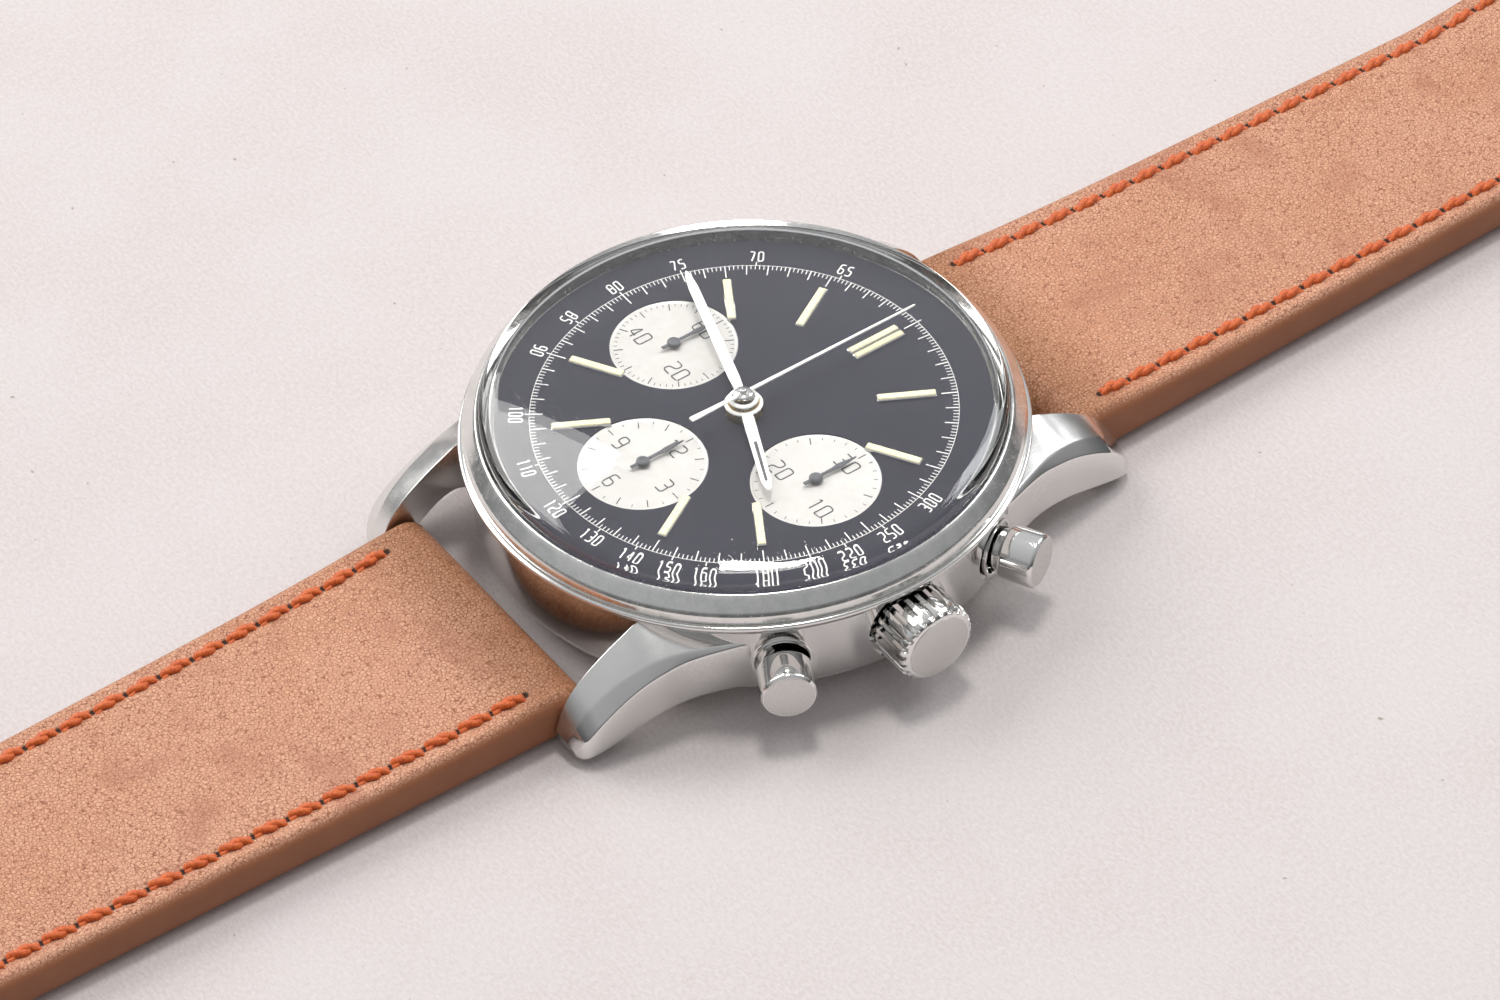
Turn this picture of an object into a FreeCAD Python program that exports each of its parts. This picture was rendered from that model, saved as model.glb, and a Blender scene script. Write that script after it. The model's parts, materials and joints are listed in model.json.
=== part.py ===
"""Hand-wound three-register chronograph wristwatch on a leather strap.

Frame: +X points to 3 o'clock (the crown), +Y to 12 o'clock, +Z up through the dial.
The origin is on the dial's axis, on the outer face of the case back. Millimetres.
"""
import FreeCAD, Part
import math
import os

from FreeCAD import Vector

# ---- Case -------------------------------------------------------------------------------
LUG_GAP = 20.0
FLANK_R = 17.6
LEDGE_R = 18.3
CASE_BORE_R = 16.2
SEAM_Z = 1.9
BEZEL_Z = 7.6
BEZEL_TOP_Z = 9.35
BEZEL_R = 18.0
CRYSTAL_R = 16.9
CRYSTAL_BORE_R = 16.0
CRYSTAL_TOP_Z = 12.3
BACK_LIP_R = 17.3
BACK_FLAT_R = 14.6
FIT = 0.05

# ---- Crown and pushers ------------------------------------------------------------------
CROWN_Z = 4.2
CROWN_IN_X = 17.35
CROWN_OUT_X = 20.7
CROWN_R = 2.7
CROWN_FLUTES = 24
STEM_R = 0.5
PUSHER_ANGLE = 28.0
PUSHER_Z = 3.9
PUSHER_TIP = 20.8
PUSHER_CAP_IN = 18.35
PUSHER_CAP_R = 1.8
PUSHER_NECK_R = 1.4
PUSHER_TUBE_R = 1.95
PUSHER_TUBE_BORE = 1.7
PUSHER_RECESS_R = 2.2
PUSHER_RECESS_AT = 17.2

# ---- Dial and hands ---------------------------------------------------------------------
DIAL_Z = 7.9
DIAL_TOP_Z = 8.3
DIAL_R = 15.9
REGISTER_OFFSET = 7.75
REGISTER_R = 4.15
REGISTER_DEPTH = 0.12
MARKER_IN = 8.4
MARKER_OUT = 12.2
SMALL_HAND_Z = 8.4
HOUR_HAND_Z = 8.95
MINUTE_HAND_Z = 9.35
SECONDS_HAND_Z = 9.75
HOUR_HAND_CLOCK = 114.0
MINUTE_HAND_CLOCK = 288.0

# ---- Movement layers --------------------------------------------------------------------
PLATE_R = 14.75
PLATE_Z = 5.2
PLATE_TOP_Z = 7.1
WALL_R = 13.9
BRIDGE_Z = 2.8
BRIDGE_TOP_Z = 3.6
RUNNING = 0.04

# ---- Wheel train: places in plan --------------------------------------------------------
CENTRE = (0.0, 0.0)
FOURTH = (-REGISTER_OFFSET, 0.0)
MINUTE_REGISTER = (REGISTER_OFFSET, 0.0)
HOUR_REGISTER = (0.0, -REGISTER_OFFSET)
BARREL_DISTANCE = 7.6
BARREL_ANGLE = 55.0
ESCAPE_ANGLE = 230.0
PALLET = (-8.4, -5.2)
BALANCE = (-4.6, -8.6)
CROWN_WHEEL = (10.6, 1.0)
COLUMN_WHEEL = (8.3, -4.6)
MINUTE_WHEEL_ANGLE = 60.0


def mesh_pair(teeth_a, teeth_b, distance):
    """Two wheels as (teeth, pitch radius) whose pitch circles touch at this centre distance."""
    module = 2 * distance / (teeth_a + teeth_b)
    return (teeth_a, teeth_a * module / 2), (teeth_b, teeth_b * module / 2)


# ---- Wheel train: (teeth, pitch radius) -------------------------------------------------
BARREL_TEETH, CENTRE_PINION = mesh_pair(79, 12, BARREL_DISTANCE)
CENTRE_WHEEL, THIRD_PINION = mesh_pair(80, 10, 5.0)
THIRD_WHEEL, FOURTH_PINION = mesh_pair(75, 10, 4.0)
FOURTH_WHEEL, ESCAPE_PINION = mesh_pair(80, 8, 3.3)
CANNON_PINION, MINUTE_WHEEL = mesh_pair(12, 36, 3.6)
MINUTE_PINION, HOUR_WHEEL = mesh_pair(10, 40, 3.6)
ESCAPE_WHEEL = (15, 1.85)
CHRONOGRAPH_WHEEL = (100, 4.2)
WINDING_PINION = (16, 1.3)
SLIDING_PINION = (16, 1.05)

# ---- Strap and buckle -------------------------------------------------------------------
BAR_Y = 20.5
BAR_Z = 1.85
BAR_R = 0.75
STRAP_ROLL_R = 1.75
STRAP_HALF_LUG = 9.85
STRAP_HALF_END = 8.0
STRAP_THICK = 3.0
STRAP_FLOOR = 0.1
BEND_Y = 60.0
BEND_GAP = 0.9
SHORT_END_Y = 95.5
LONG_END_Y = 135.5
TAIL_RISE = 1.05
BUCKLE_BAR_Z = 2.75
BUCKLE_FRONT_Y = 108.0

UP = Vector(0, 0, 1)
EAST = Vector(1, 0, 0)


# ---- Geometry helpers -------------------------------------------------------------------
def cylinder(radius, z_low, z_high, at=CENTRE):
    return Part.makeCylinder(radius, z_high - z_low, Vector(at[0], at[1], z_low), UP)


def ring(outer, inner, z_low, z_high, at=CENTRE):
    return cylinder(outer, z_low, z_high, at).cut(cylinder(inner, z_low - 1, z_high + 1, at))


def rod_x(radius, x_low, x_high, y=0.0, z=0.0):
    return Part.makeCylinder(radius, x_high - x_low, Vector(x_low, y, z), EAST)


def box(low, high):
    size = [b - a for a, b in zip(low, high)]
    return Part.makeBox(*size, Vector(*low))


def prism(points, z_low, z_high):
    """Plan outline (x, y) carried up from z_low to z_high."""
    wire = Part.makePolygon([Vector(x, y, z_low) for x, y in points + points[:1]])
    return Part.Face(wire).extrude(Vector(0, 0, z_high - z_low))


def turned(profile):
    """Outline (radius, z) turned once round the dial's axis."""
    wire = Part.makePolygon([Vector(r, 0, z) for r, z in profile + profile[:1]])
    return Part.Face(wire).revolve(Vector(0, 0, 0), UP, 360)


def fused(shapes):
    whole = shapes[0]
    for shape in shapes[1:]:
        whole = whole.fuse(shape)
    return whole.removeSplitter()


def polar(distance, degrees, start=CENTRE):
    angle = math.radians(degrees)
    return (start[0] + distance * math.cos(angle), start[1] + distance * math.sin(angle))


def spin(shape, degrees, at=CENTRE):
    copy = shape.copy()
    copy.rotate(Vector(at[0], at[1], 0), UP, degrees)
    return copy


def bar_between(start, end, width, z_low, z_high, overrun=0.0):
    """Flat straight bar from one plan point to another."""
    length = math.dist(start, end)
    angle = math.degrees(math.atan2(end[1] - start[1], end[0] - start[0]))
    bar = box((start[0] - overrun, start[1] - width / 2, z_low),
              (start[0] + length + overrun, start[1] + width / 2, z_high))
    return spin(bar, angle, start)


def meeting_point(a, reach_a, b, reach_b):
    """Point below the line a-b at the given distances from a and b."""
    apart = math.dist(a, b)
    along = (reach_a ** 2 - reach_b ** 2 + apart ** 2) / (2 * apart)
    aside = math.sqrt(reach_a ** 2 - along ** 2)
    ux, uy = (b[0] - a[0]) / apart, (b[1] - a[1]) / apart
    options = [(a[0] + along * ux + side * aside * uy, a[1] + along * uy - side * aside * ux)
               for side in (1, -1)]
    return min(options, key=lambda point: point[1])


# ---- Gears ------------------------------------------------------------------------------
TOOTH_ROOT_SHARE = 0.25
TOOTH_TIP_SHARE = 0.10
ADDENDUM_SHARE = 0.55
DEDENDUM_SHARE = 0.95


def gear(size, z_low, z_high, at, phase, bore=0.0, windows=0):
    """Spur wheel: trapezium teeth about the pitch circle, one centred on angle phase."""
    teeth, pitch_r = size
    module = 2 * pitch_r / teeth
    tip = pitch_r + ADDENDUM_SHARE * module
    root = pitch_r - DEDENDUM_SHARE * module
    pitch = 360.0 / teeth
    outline = []
    for index in range(teeth):
        middle = phase + index * pitch
        outline += [polar(root, middle - TOOTH_ROOT_SHARE * pitch, at),
                    polar(tip, middle - TOOTH_TIP_SHARE * pitch, at),
                    polar(tip, middle + TOOTH_TIP_SHARE * pitch, at),
                    polar(root, middle + TOOTH_ROOT_SHARE * pitch, at)]
    wheel = prism(outline, z_low, z_high)
    for index in range(windows):
        hole_at = polar(0.58 * pitch_r, 360.0 * index / windows, at)
        wheel = wheel.cut(cylinder(0.24 * pitch_r, z_low - 1, z_high + 1, hole_at))
    if bore:
        wheel = wheel.cut(cylinder(bore, z_low - 1, z_high + 1, at))
    return wheel


def mate_phase(phase, driver, driver_at, driven, driven_at):
    """Angle of a tooth on the driven wheel that puts its gaps on the driver's teeth."""
    line = math.degrees(math.atan2(driven_at[1] - driver_at[1], driven_at[0] - driver_at[0]))
    offset = (phase - line) * driver[1] / driven[1]
    return line + 180.0 - offset + 180.0 / driven[0]


def spiral_band(inner, outer, turns, thick, z_low, z_high, at):
    """Flat coiled spring: a strip whose radius grows evenly with its angle."""
    steps = int(turns * 20)
    near, far = [], []
    for step in range(steps + 1):
        angle = 360.0 * turns * step / steps
        radius = inner + (outer - inner) * step / steps
        near.append(polar(radius - thick / 2, angle, at))
        far.append(polar(radius + thick / 2, angle, at))
    return prism(near + far[::-1], z_low, z_high)


BARREL = polar(BARREL_DISTANCE, BARREL_ANGLE)
RATCHET_WHEEL, CROWN_WHEEL_TEETH = mesh_pair(50, 24, math.dist(BARREL, CROWN_WHEEL))
THIRD = meeting_point(CENTRE, CENTRE_WHEEL[1] + THIRD_PINION[1],
                      FOURTH, THIRD_WHEEL[1] + FOURTH_PINION[1])
ESCAPE = polar(FOURTH_WHEEL[1] + ESCAPE_PINION[1], ESCAPE_ANGLE, FOURTH)
MINUTE_STUD = polar(CANNON_PINION[1] + MINUTE_WHEEL[1], MINUTE_WHEEL_ANGLE)


# ---- Case -------------------------------------------------------------------------------
def lug(side_x, side_y):
    """One horn, skinned over stations from inside the flank to the tip.

    Each station lists five corners: inner top, bevel's inner edge, bevel's outer edge,
    outer bottom and inner bottom, so the bevel widens towards the tip.
    """
    inner_x = LUG_GAP / 2
    stations = [
        ((inner_x, 8.8, 6.6), (14.95, 8.8, 5.75), (15.05, 8.8, 5.6), (15.05, 8.8, 1.95),
         (inner_x, 8.8, 1.95)),
        ((inner_x, 11.0, 6.8), (13.9, 11.0, 5.75), (14.15, 11.0, 5.5), (14.15, 11.0, 1.95),
         (inner_x, 11.0, 1.95)),
        ((inner_x, 13.7, 7.1), (12.95, 13.7, 5.85), (13.35, 13.7, 5.35), (13.35, 13.7, 1.95),
         (inner_x, 13.7, 2.4)),
        ((inner_x, 15.2, 7.15), (12.5, 15.4, 5.8), (13.1, 15.6, 5.1), (13.1, 15.9, 1.75),
         (inner_x, 15.6, 3.3)),
        ((inner_x, 16.5, 6.6), (12.2, 16.7, 5.5), (12.95, 17.0, 4.7), (12.95, 17.4, 1.35),
         (inner_x, 17.1, 3.0)),
        ((inner_x, 18.0, 5.8), (11.95, 18.2, 4.95), (12.85, 18.5, 4.0), (12.85, 18.9, 0.95),
         (inner_x, 18.5, 2.1)),
        ((inner_x, 19.5, 4.8), (11.7, 19.7, 4.05), (12.75, 19.9, 3.1), (12.75, 20.2, 0.65),
         (inner_x, 19.9, 1.1)),
        ((inner_x, 20.5, 3.85), (11.55, 20.6, 3.15), (12.6, 20.7, 2.3), (12.6, 20.9, 0.52),
         (inner_x, 20.8, 0.7)),
        ((inner_x, 21.2, 2.75), (11.4, 21.25, 2.2), (12.35, 21.2, 1.6), (12.35, 21.25, 0.48),
         (inner_x, 21.3, 0.6)),
        ((inner_x, 21.65, 1.5), (11.3, 21.61, 1.3), (11.95, 21.56, 1.05), (11.95, 21.45, 0.5),
         (inner_x, 21.45, 0.5)),
    ]
    wires = [Part.makePolygon([Vector(*corner) for corner in station + station[:1]])
             for station in stations]
    horn = Part.makeLoft(wires, True, False)
    horn = horn.cut(rod_x(0.45, 9.0, 11.6, BAR_Y, BAR_Z))
    matrix = FreeCAD.Matrix()
    matrix.A11, matrix.A22 = side_x, side_y
    return horn.transformGeometry(matrix)


def pusher_axis(sign):
    angle = math.radians(sign * PUSHER_ANGLE)
    return Vector(math.cos(angle), math.sin(angle), 0)


def rod_radial(radius, near, far, sign):
    axis = pusher_axis(sign)
    return Part.makeCylinder(radius, far - near, axis * near + Vector(0, 0, PUSHER_Z), axis)


def case_middle():
    shell = turned([(CASE_BORE_R, SEAM_Z), (FLANK_R - 0.15, SEAM_Z), (FLANK_R, SEAM_Z + 0.25),
                    (FLANK_R + 0.05, 6.7), (LEDGE_R - 0.12, 7.15), (LEDGE_R, 7.25),
                    (LEDGE_R, BEZEL_Z - 0.08), (LEDGE_R - 0.08, BEZEL_Z),
                    (CASE_BORE_R, BEZEL_Z)])
    horns = [lug(x, y) for x in (1, -1) for y in (1, -1)]
    body = fused([shell] + horns)
    body = body.cut(cylinder(CASE_BORE_R, 0, 10))
    body = body.cut(cylinder(BACK_LIP_R + FIT, -1, SEAM_Z))
    body = body.cut(rod_x(3.0, CROWN_IN_X - 0.25, 22.0, 0, CROWN_Z))
    body = body.cut(rod_x(1.3, 14.0, 22.0, 0, CROWN_Z))
    for sign in (1, -1):
        body = body.cut(rod_radial(PUSHER_TUBE_R, 14.0, 19.0, sign))
        body = body.cut(rod_radial(PUSHER_RECESS_R, PUSHER_RECESS_AT, 19.0, sign))
    assert len(body.Solids) == 1
    return body


def case_back():
    dish = turned([(0, 0), (BACK_FLAT_R, 0), (BACK_FLAT_R + 0.3, 0.1), (16.9, 1.25),
                   (BACK_LIP_R, 1.5), (BACK_LIP_R, SEAM_Z - 0.1), (BACK_LIP_R - 0.1, SEAM_Z),
                   (CASE_BORE_R - FIT, SEAM_Z), (CASE_BORE_R - FIT, SEAM_Z + 0.7),
                   (15.3, SEAM_Z + 0.7), (15.3, 1.3), (14.6, 0.8), (0, 0.8)])
    for sign in (1, -1):
        dish = dish.cut(rod_radial(PUSHER_TUBE_R + FIT, 14.0, 16.4, sign))
    return dish.cut(ring(17.1, 16.5, SEAM_Z - 0.3, SEAM_Z + 1))


def case_back_gasket():
    return ring(17.05, 16.55, SEAM_Z - 0.3, SEAM_Z)


def bezel():
    return turned([(CRYSTAL_R, BEZEL_Z), (BEZEL_R - 0.1, BEZEL_Z), (BEZEL_R, BEZEL_Z + 0.12),
                   (BEZEL_R, BEZEL_Z + 0.6), (BEZEL_R - 0.12, BEZEL_Z + 1.05),
                   (BEZEL_R - 0.45, BEZEL_TOP_Z - 0.3), (BEZEL_R - 0.8, BEZEL_TOP_Z - 0.05),
                   (CRYSTAL_R + 0.1, BEZEL_TOP_Z), (CRYSTAL_R, BEZEL_TOP_Z - 0.1)])


def dome(radius, rim_z, top_z):
    """Ball whose top passes through rim_z at the radius and through top_z on the axis."""
    rise = top_z - rim_z
    ball = (radius ** 2 + rise ** 2) / (2 * rise)
    return Part.makeSphere(ball, Vector(0, 0, top_z - ball))


def crystal():
    outside = cylinder(CRYSTAL_R, BEZEL_Z, 14).common(dome(CRYSTAL_R - 0.1, 10.1, CRYSTAL_TOP_Z))
    inside = cylinder(CRYSTAL_BORE_R, 0, 14).common(dome(CRYSTAL_BORE_R, 9.35, 11.2))
    return outside.cut(inside)


def casing_ring():
    body = ring(CASE_BORE_R - FIT, PLATE_R + FIT, SEAM_Z + 0.85, BEZEL_Z - FIT)
    body = body.fuse(ring(DIAL_R - 0.1, PLATE_R + FIT, BEZEL_Z - 0.5, DIAL_Z))
    body = body.cut(rod_x(1.35, 14.0, 17.0, 0, CROWN_Z))
    for sign in (1, -1):
        body = body.cut(rod_radial(PUSHER_TUBE_R + FIT, 14.0, 17.0, sign))
    return body


def crown_tube():
    return rod_x(1.3, 15.3, 18.4, 0, CROWN_Z).cut(rod_x(0.95, 15.0, 19.0, 0, CROWN_Z))


def pusher_tubes():
    """Two flanged sleeves, each with a floor that its stem passes through."""
    sleeves = []
    for sign in (1, -1):
        sleeve = rod_radial(PUSHER_TUBE_R, 15.0, 17.75, sign)
        sleeve = sleeve.cut(rod_radial(PUSHER_TUBE_BORE, 15.2, 18.0, sign))
        sleeves.append(sleeve.cut(rod_radial(0.6, 14.0, 16.0, sign)))
    return Part.makeCompound(sleeves)


# ---- Crown, stem and pushers ------------------------------------------------------------
def crown():
    """Knurled cup screwed to the stem; the flutes are round grooves cut round its rim."""
    profile = [(CROWN_IN_X, 0.0), (CROWN_IN_X, CROWN_R - 0.2), (CROWN_IN_X + 0.3, CROWN_R - 0.02),
               (CROWN_OUT_X - 0.5, CROWN_R + 0.05), (CROWN_OUT_X - 0.2, CROWN_R - 0.1),
               (CROWN_OUT_X, CROWN_R - 0.45), (CROWN_OUT_X, 0.0)]
    wire = Part.makePolygon([Vector(x, r, CROWN_Z) for x, r in profile + profile[:1]])
    knob = Part.Face(wire).revolve(Vector(0, 0, CROWN_Z), EAST, 360)
    for index in range(CROWN_FLUTES):
        angle = 2 * math.pi * index / CROWN_FLUTES
        y = (CROWN_R + 0.1) * math.cos(angle)
        z = CROWN_Z + (CROWN_R + 0.1) * math.sin(angle)
        knob = knob.cut(rod_x(0.22, CROWN_IN_X - 0.2, CROWN_OUT_X - 0.35, y, z))
    knob = knob.cut(rod_x(1.4, CROWN_IN_X - 1, 19.4, 0, CROWN_Z))
    return knob.cut(rod_x(STEM_R, 18.0, 20.1, 0, CROWN_Z))


def winding_stem():
    pilot = rod_x(0.35, 8.4, 9.8, 0, CROWN_Z)
    shaft = rod_x(STEM_R, 9.8, 20.1, 0, CROWN_Z)
    return fused([pilot, shaft])


def pusher(sign):
    """Bevelled cap on a neck, with a thin stem that reaches its lever."""
    cap = rod_radial(PUSHER_CAP_R, PUSHER_CAP_IN, PUSHER_TIP, sign)
    cap = cap.makeChamfer(0.28, [edge for edge in cap.Edges
                                 if edge.CenterOfMass.dot(pusher_axis(sign)) > PUSHER_TIP - 0.1])
    neck = rod_radial(PUSHER_NECK_R, 16.6, PUSHER_CAP_IN + 0.1, sign)
    stem = rod_radial(0.5, 14.95, 16.7, sign)
    return fused([cap, neck, stem])


def pusher_spring(sign):
    """Closed coil spring round the stem, drawn at the length it has when pressed."""
    coils = [Part.makeTorus(1.05, 0.1, Vector(0, 0, 0.1 + 0.19 * index)) for index in range(4)]
    spring = fused(coils)
    axis = pusher_axis(sign)
    turn = FreeCAD.Rotation(UP, axis)
    spring.Placement = FreeCAD.Placement(axis * 15.82 + Vector(0, 0, PUSHER_Z), turn)
    return spring


# ---- Dial and hands ---------------------------------------------------------------------
def dial():
    plate = cylinder(DIAL_R, DIAL_Z, DIAL_TOP_Z)
    for at in (FOURTH, MINUTE_REGISTER, HOUR_REGISTER):
        plate = plate.cut(cylinder(REGISTER_R, DIAL_TOP_Z - REGISTER_DEPTH, 9, at))
        plate = plate.cut(cylinder(0.26, 7, 9, at))
    return plate.cut(cylinder(1.2, 7, 9))


def hour_markers():
    """Raised batons at every hour but the register hours; two side by side at twelve."""
    batons = []
    for hour in (1, 2, 4, 5, 7, 8, 10, 11):
        batons.append(spin(baton(0.0, 0.62), -30.0 * hour))
    batons += [baton(-0.31, 0.55), baton(0.31, 0.55)]
    return Part.makeCompound(batons)


def baton(x_middle, width):
    return box((x_middle - width / 2, MARKER_IN, DIAL_TOP_Z),
               (x_middle + width / 2, MARKER_OUT, DIAL_TOP_Z + 0.22))


def clock_hand(outline, hub_r, bore, z_low, thick, clock_angle, at=CENTRE):
    """Flat hand drawn pointing to twelve, then turned clockwise to its place."""
    blade = prism([(at[0] + x, at[1] + y) for x, y in outline], z_low, z_low + thick)
    hand = fused([blade, cylinder(hub_r, z_low, z_low + thick, at)])
    hand = hand.cut(cylinder(bore, z_low - 1, z_low + 2, at))
    return spin(hand, -clock_angle, at)


def hour_hand():
    outline = [(-0.45, 0), (-0.62, 1.6), (-0.5, 7.4), (0, 8.1), (0.5, 7.4), (0.62, 1.6), (0.45, 0)]
    return clock_hand(outline, 1.4, 1.08, HOUR_HAND_Z, 0.15, HOUR_HAND_CLOCK)


def minute_hand():
    outline = [(-0.4, 0), (-0.55, 2.0), (-0.42, 11.6), (0, 12.4), (0.42, 11.6), (0.55, 2.0),
               (0.4, 0)]
    return clock_hand(outline, 1.15, 0.75, MINUTE_HAND_Z, 0.15, MINUTE_HAND_CLOCK)


def chronograph_hand():
    outline = [(-0.28, -4.0), (-0.16, -1.0), (-0.16, 0), (-0.05, 13.4), (0.05, 13.4), (0.16, 0),
               (0.16, -1.0), (0.28, -4.0)]
    return clock_hand(outline, 0.7, 0.2, SECONDS_HAND_Z, 0.15, 0.0)


def register_hand(at, arbor_r):
    outline = [(-0.18, -1.0), (-0.14, 0), (-0.06, 3.1), (0.06, 3.1), (0.14, 0), (0.18, -1.0)]
    return clock_hand(outline, 0.48, arbor_r, SMALL_HAND_Z, 0.12, 0.0, at)


# ---- Movement: plates -------------------------------------------------------------------
SCREW_ANGLES = (14, 118, 160, 190, 285, 318)
SCREW_CIRCLE = 14.3


def movement_screws():
    screws = []
    for angle in SCREW_ANGLES:
        at = polar(SCREW_CIRCLE, angle)
        head = cylinder(0.42, BRIDGE_Z - 0.35, BRIDGE_Z, at)
        slot = spin(box((at[0] - 1, at[1] - 0.06, 0), (at[0] + 1, at[1] + 0.06, 2.6)), angle, at)
        screws.append(fused([head, cylinder(0.22, BRIDGE_Z - 0.1, 4.6, at)]).cut(slot))
    return Part.makeCompound(screws)


def main_plate():
    """Plate between train and dial: a wall carries the bridges, a rim carries the dial."""
    plate = fused([cylinder(PLATE_R, PLATE_Z, PLATE_TOP_Z),
                   ring(PLATE_R, WALL_R - 0.5, PLATE_TOP_Z - 0.1, DIAL_Z),
                   ring(PLATE_R, WALL_R, BRIDGE_TOP_Z, PLATE_Z + 0.1),
                   box((8.9, -1.2, BRIDGE_TOP_Z), (9.5, 1.2, PLATE_Z + 0.1)),
                   cylinder(0.3, PLATE_TOP_Z - 0.1, DIAL_Z - 0.1, MINUTE_STUD)])
    plate = plate.cut(cylinder(BARREL_TEETH[1] + 0.3, 3.0, PLATE_Z, BARREL))
    plate = plate.cut(cylinder(6.3, 3.0, 6.5, BARREL))
    plate = plate.cut(rod_x(0.35 + RUNNING, 8.0, 10.0, 0, CROWN_Z))
    plate = plate.cut(rod_x(1.5, 9.8, 13.85, 0, CROWN_Z))
    plate = plate.cut(rod_x(STEM_R + RUNNING, 13.0, 15.0, 0, CROWN_Z))
    for sign in (1, -1):
        plate = plate.cut(rod_radial(1.3, 12.0, 15.5, sign))
    pivots = [(CENTRE, 0.45), (FOURTH, 0.15), (MINUTE_REGISTER, 0.2), (HOUR_REGISTER, 0.2)]
    for at, radius in pivots:
        plate = plate.cut(cylinder(radius + RUNNING, 3.0, 9.0, at))
    for at in (THIRD, ESCAPE, PALLET, BALANCE, BARREL):
        plate = plate.cut(cylinder(PIVOT_R + RUNNING, 3.0, 6.9, at))
    return plate.cut(movement_screws())


PIVOT_R = 0.15


def bridge_outline():
    """Plan of the winding side: above the centre line, stepping down beside the stem."""
    return [(-15.0, 1.2), (6.0, 1.2), (6.0, -1.9), (15.0, -1.9), (15.0, 15.0), (-15.0, 15.0)]


def barrel_bridge():
    plate = cylinder(PLATE_R - FIT, BRIDGE_Z, BRIDGE_TOP_Z)
    plate = plate.common(prism(bridge_outline(), 0, 9))
    plate = plate.cut(box((9.7, -1.6, 0), (13.7, 1.6, 9)))
    plate = plate.cut(cylinder(0.9 + RUNNING, 0, 9, BARREL))
    plate = plate.cut(cylinder(0.2 + RUNNING, 0, 9, MINUTE_REGISTER))
    for at, radius, low in ((CROWN_WHEEL, 0.45, 2.2), (LEVER_PIVOT, 0.3, 1.85)):
        plate = plate.fuse(cylinder(radius, low, BRIDGE_Z + 0.1, at))
    lever_gap = polar(PLATE_R - 0.5, PUSHER_ANGLE)
    plate = plate.cut(cylinder(1.35, 0, 9, lever_gap))
    return plate.cut(movement_screws())


def cock_bar(z_low, z_high, width, near=-1.3):
    direction = math.degrees(math.atan2(BALANCE[1], BALANCE[0]))
    reach = math.dist(CENTRE, BALANCE)
    return bar_between(polar(reach + near, direction), polar(PLATE_R - FIT - 0.35, direction),
                       width, z_low, z_high)


def train_bridge():
    plate = cylinder(PLATE_R - FIT, BRIDGE_Z, BRIDGE_TOP_Z)
    plate = plate.cut(prism(bridge_outline(), 0, 9).makeOffsetShape(0.08, 0.001))
    plate = plate.cut(cylinder(4.3, 0, 9, BALANCE)).cut(cock_bar(0, 9, 3.4))
    for at in (THIRD, FOURTH, ESCAPE, PALLET):
        plate = plate.cut(cylinder(PIVOT_R + RUNNING, 0, 9, at))
    plate = plate.cut(cylinder(0.45 + RUNNING, 0, 9, CENTRE))
    plate = plate.cut(cylinder(0.2 + RUNNING, 0, 9, HOUR_REGISTER))
    plate = plate.cut(cylinder(1.35, 0, 9, polar(PLATE_R - 0.5, -PUSHER_ANGLE)))
    plate = plate.fuse(cylinder(0.4, 1.95, BRIDGE_Z + 0.1, HAMMER_PIVOT))
    plate = plate.fuse(cylinder(0.4, 1.45, BRIDGE_Z + 0.1, COLUMN_WHEEL))
    plate = plate.cut(movement_screws())
    return max(plate.Solids, key=lambda solid: solid.Volume)


def balance_cock():
    arm = cock_bar(1.6, 2.3, 3.0)
    foot = cock_bar(2.2, BRIDGE_TOP_Z, 3.0).cut(cylinder(WALL_R + 0.05, 0, 9))
    cock = fused([arm, foot]).common(cylinder(PLATE_R - FIT, 0, 9))
    return cock.cut(cylinder(PIVOT_R + RUNNING, 0, 9, BALANCE))


# ---- Movement: power and winding --------------------------------------------------------
def arbor(radius, z_low, z_high, at):
    return cylinder(radius, z_low, z_high, at)


def barrel_drum(phases):
    drum = cylinder(6.15, 4.05, 6.2, BARREL).cut(cylinder(5.85, 4.35, 5.9, BARREL))
    teeth = gear(BARREL_TEETH, 4.05, 4.6, BARREL, phases["barrel"], bore=6.0)
    return fused([drum, teeth]).cut(cylinder(0.75 + RUNNING, 0, 9, BARREL))


def barrel_arbor():
    return fused([arbor(0.75, 4.0, 6.25, BARREL), arbor(0.9, 2.7, 4.0, BARREL),
                  arbor(0.6, 2.2, 2.8, BARREL), arbor(PIVOT_R, 6.2, 6.85, BARREL)])


def mainspring():
    return spiral_band(1.0, 5.6, 7, 0.16, 4.45, 5.8, BARREL)


def ratchet_wheel(phases):
    return gear(RATCHET_WHEEL, 2.3, 2.7, BARREL, phases["ratchet"], bore=0.6, windows=0)


def crown_wheel(phases):
    flat = gear(CROWN_WHEEL_TEETH, 2.3, 2.75, CROWN_WHEEL, phases["crown"])
    return flat.cut(cylinder(0.45 + RUNNING, 0, 9, CROWN_WHEEL))


def pinion_on_stem(size, x_low, x_high, phase=0.0):
    wheel = gear(size, 0, x_high - x_low, CENTRE, phase, bore=STEM_R + RUNNING)
    wheel.Placement = FreeCAD.Placement(Vector(x_low, 0, CROWN_Z), FreeCAD.Rotation(UP, EAST))
    return wheel


def winding_pinion():
    return pinion_on_stem(WINDING_PINION, 12.2, 13.5)


def sliding_pinion():
    body = pinion_on_stem(SLIDING_PINION, 10.95, 12.1)
    waist = rod_x(1.3, 11.3, 11.65, 0, CROWN_Z).cut(rod_x(0.8, 11.0, 12.0, 0, CROWN_Z))
    return body.cut(waist)


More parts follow.
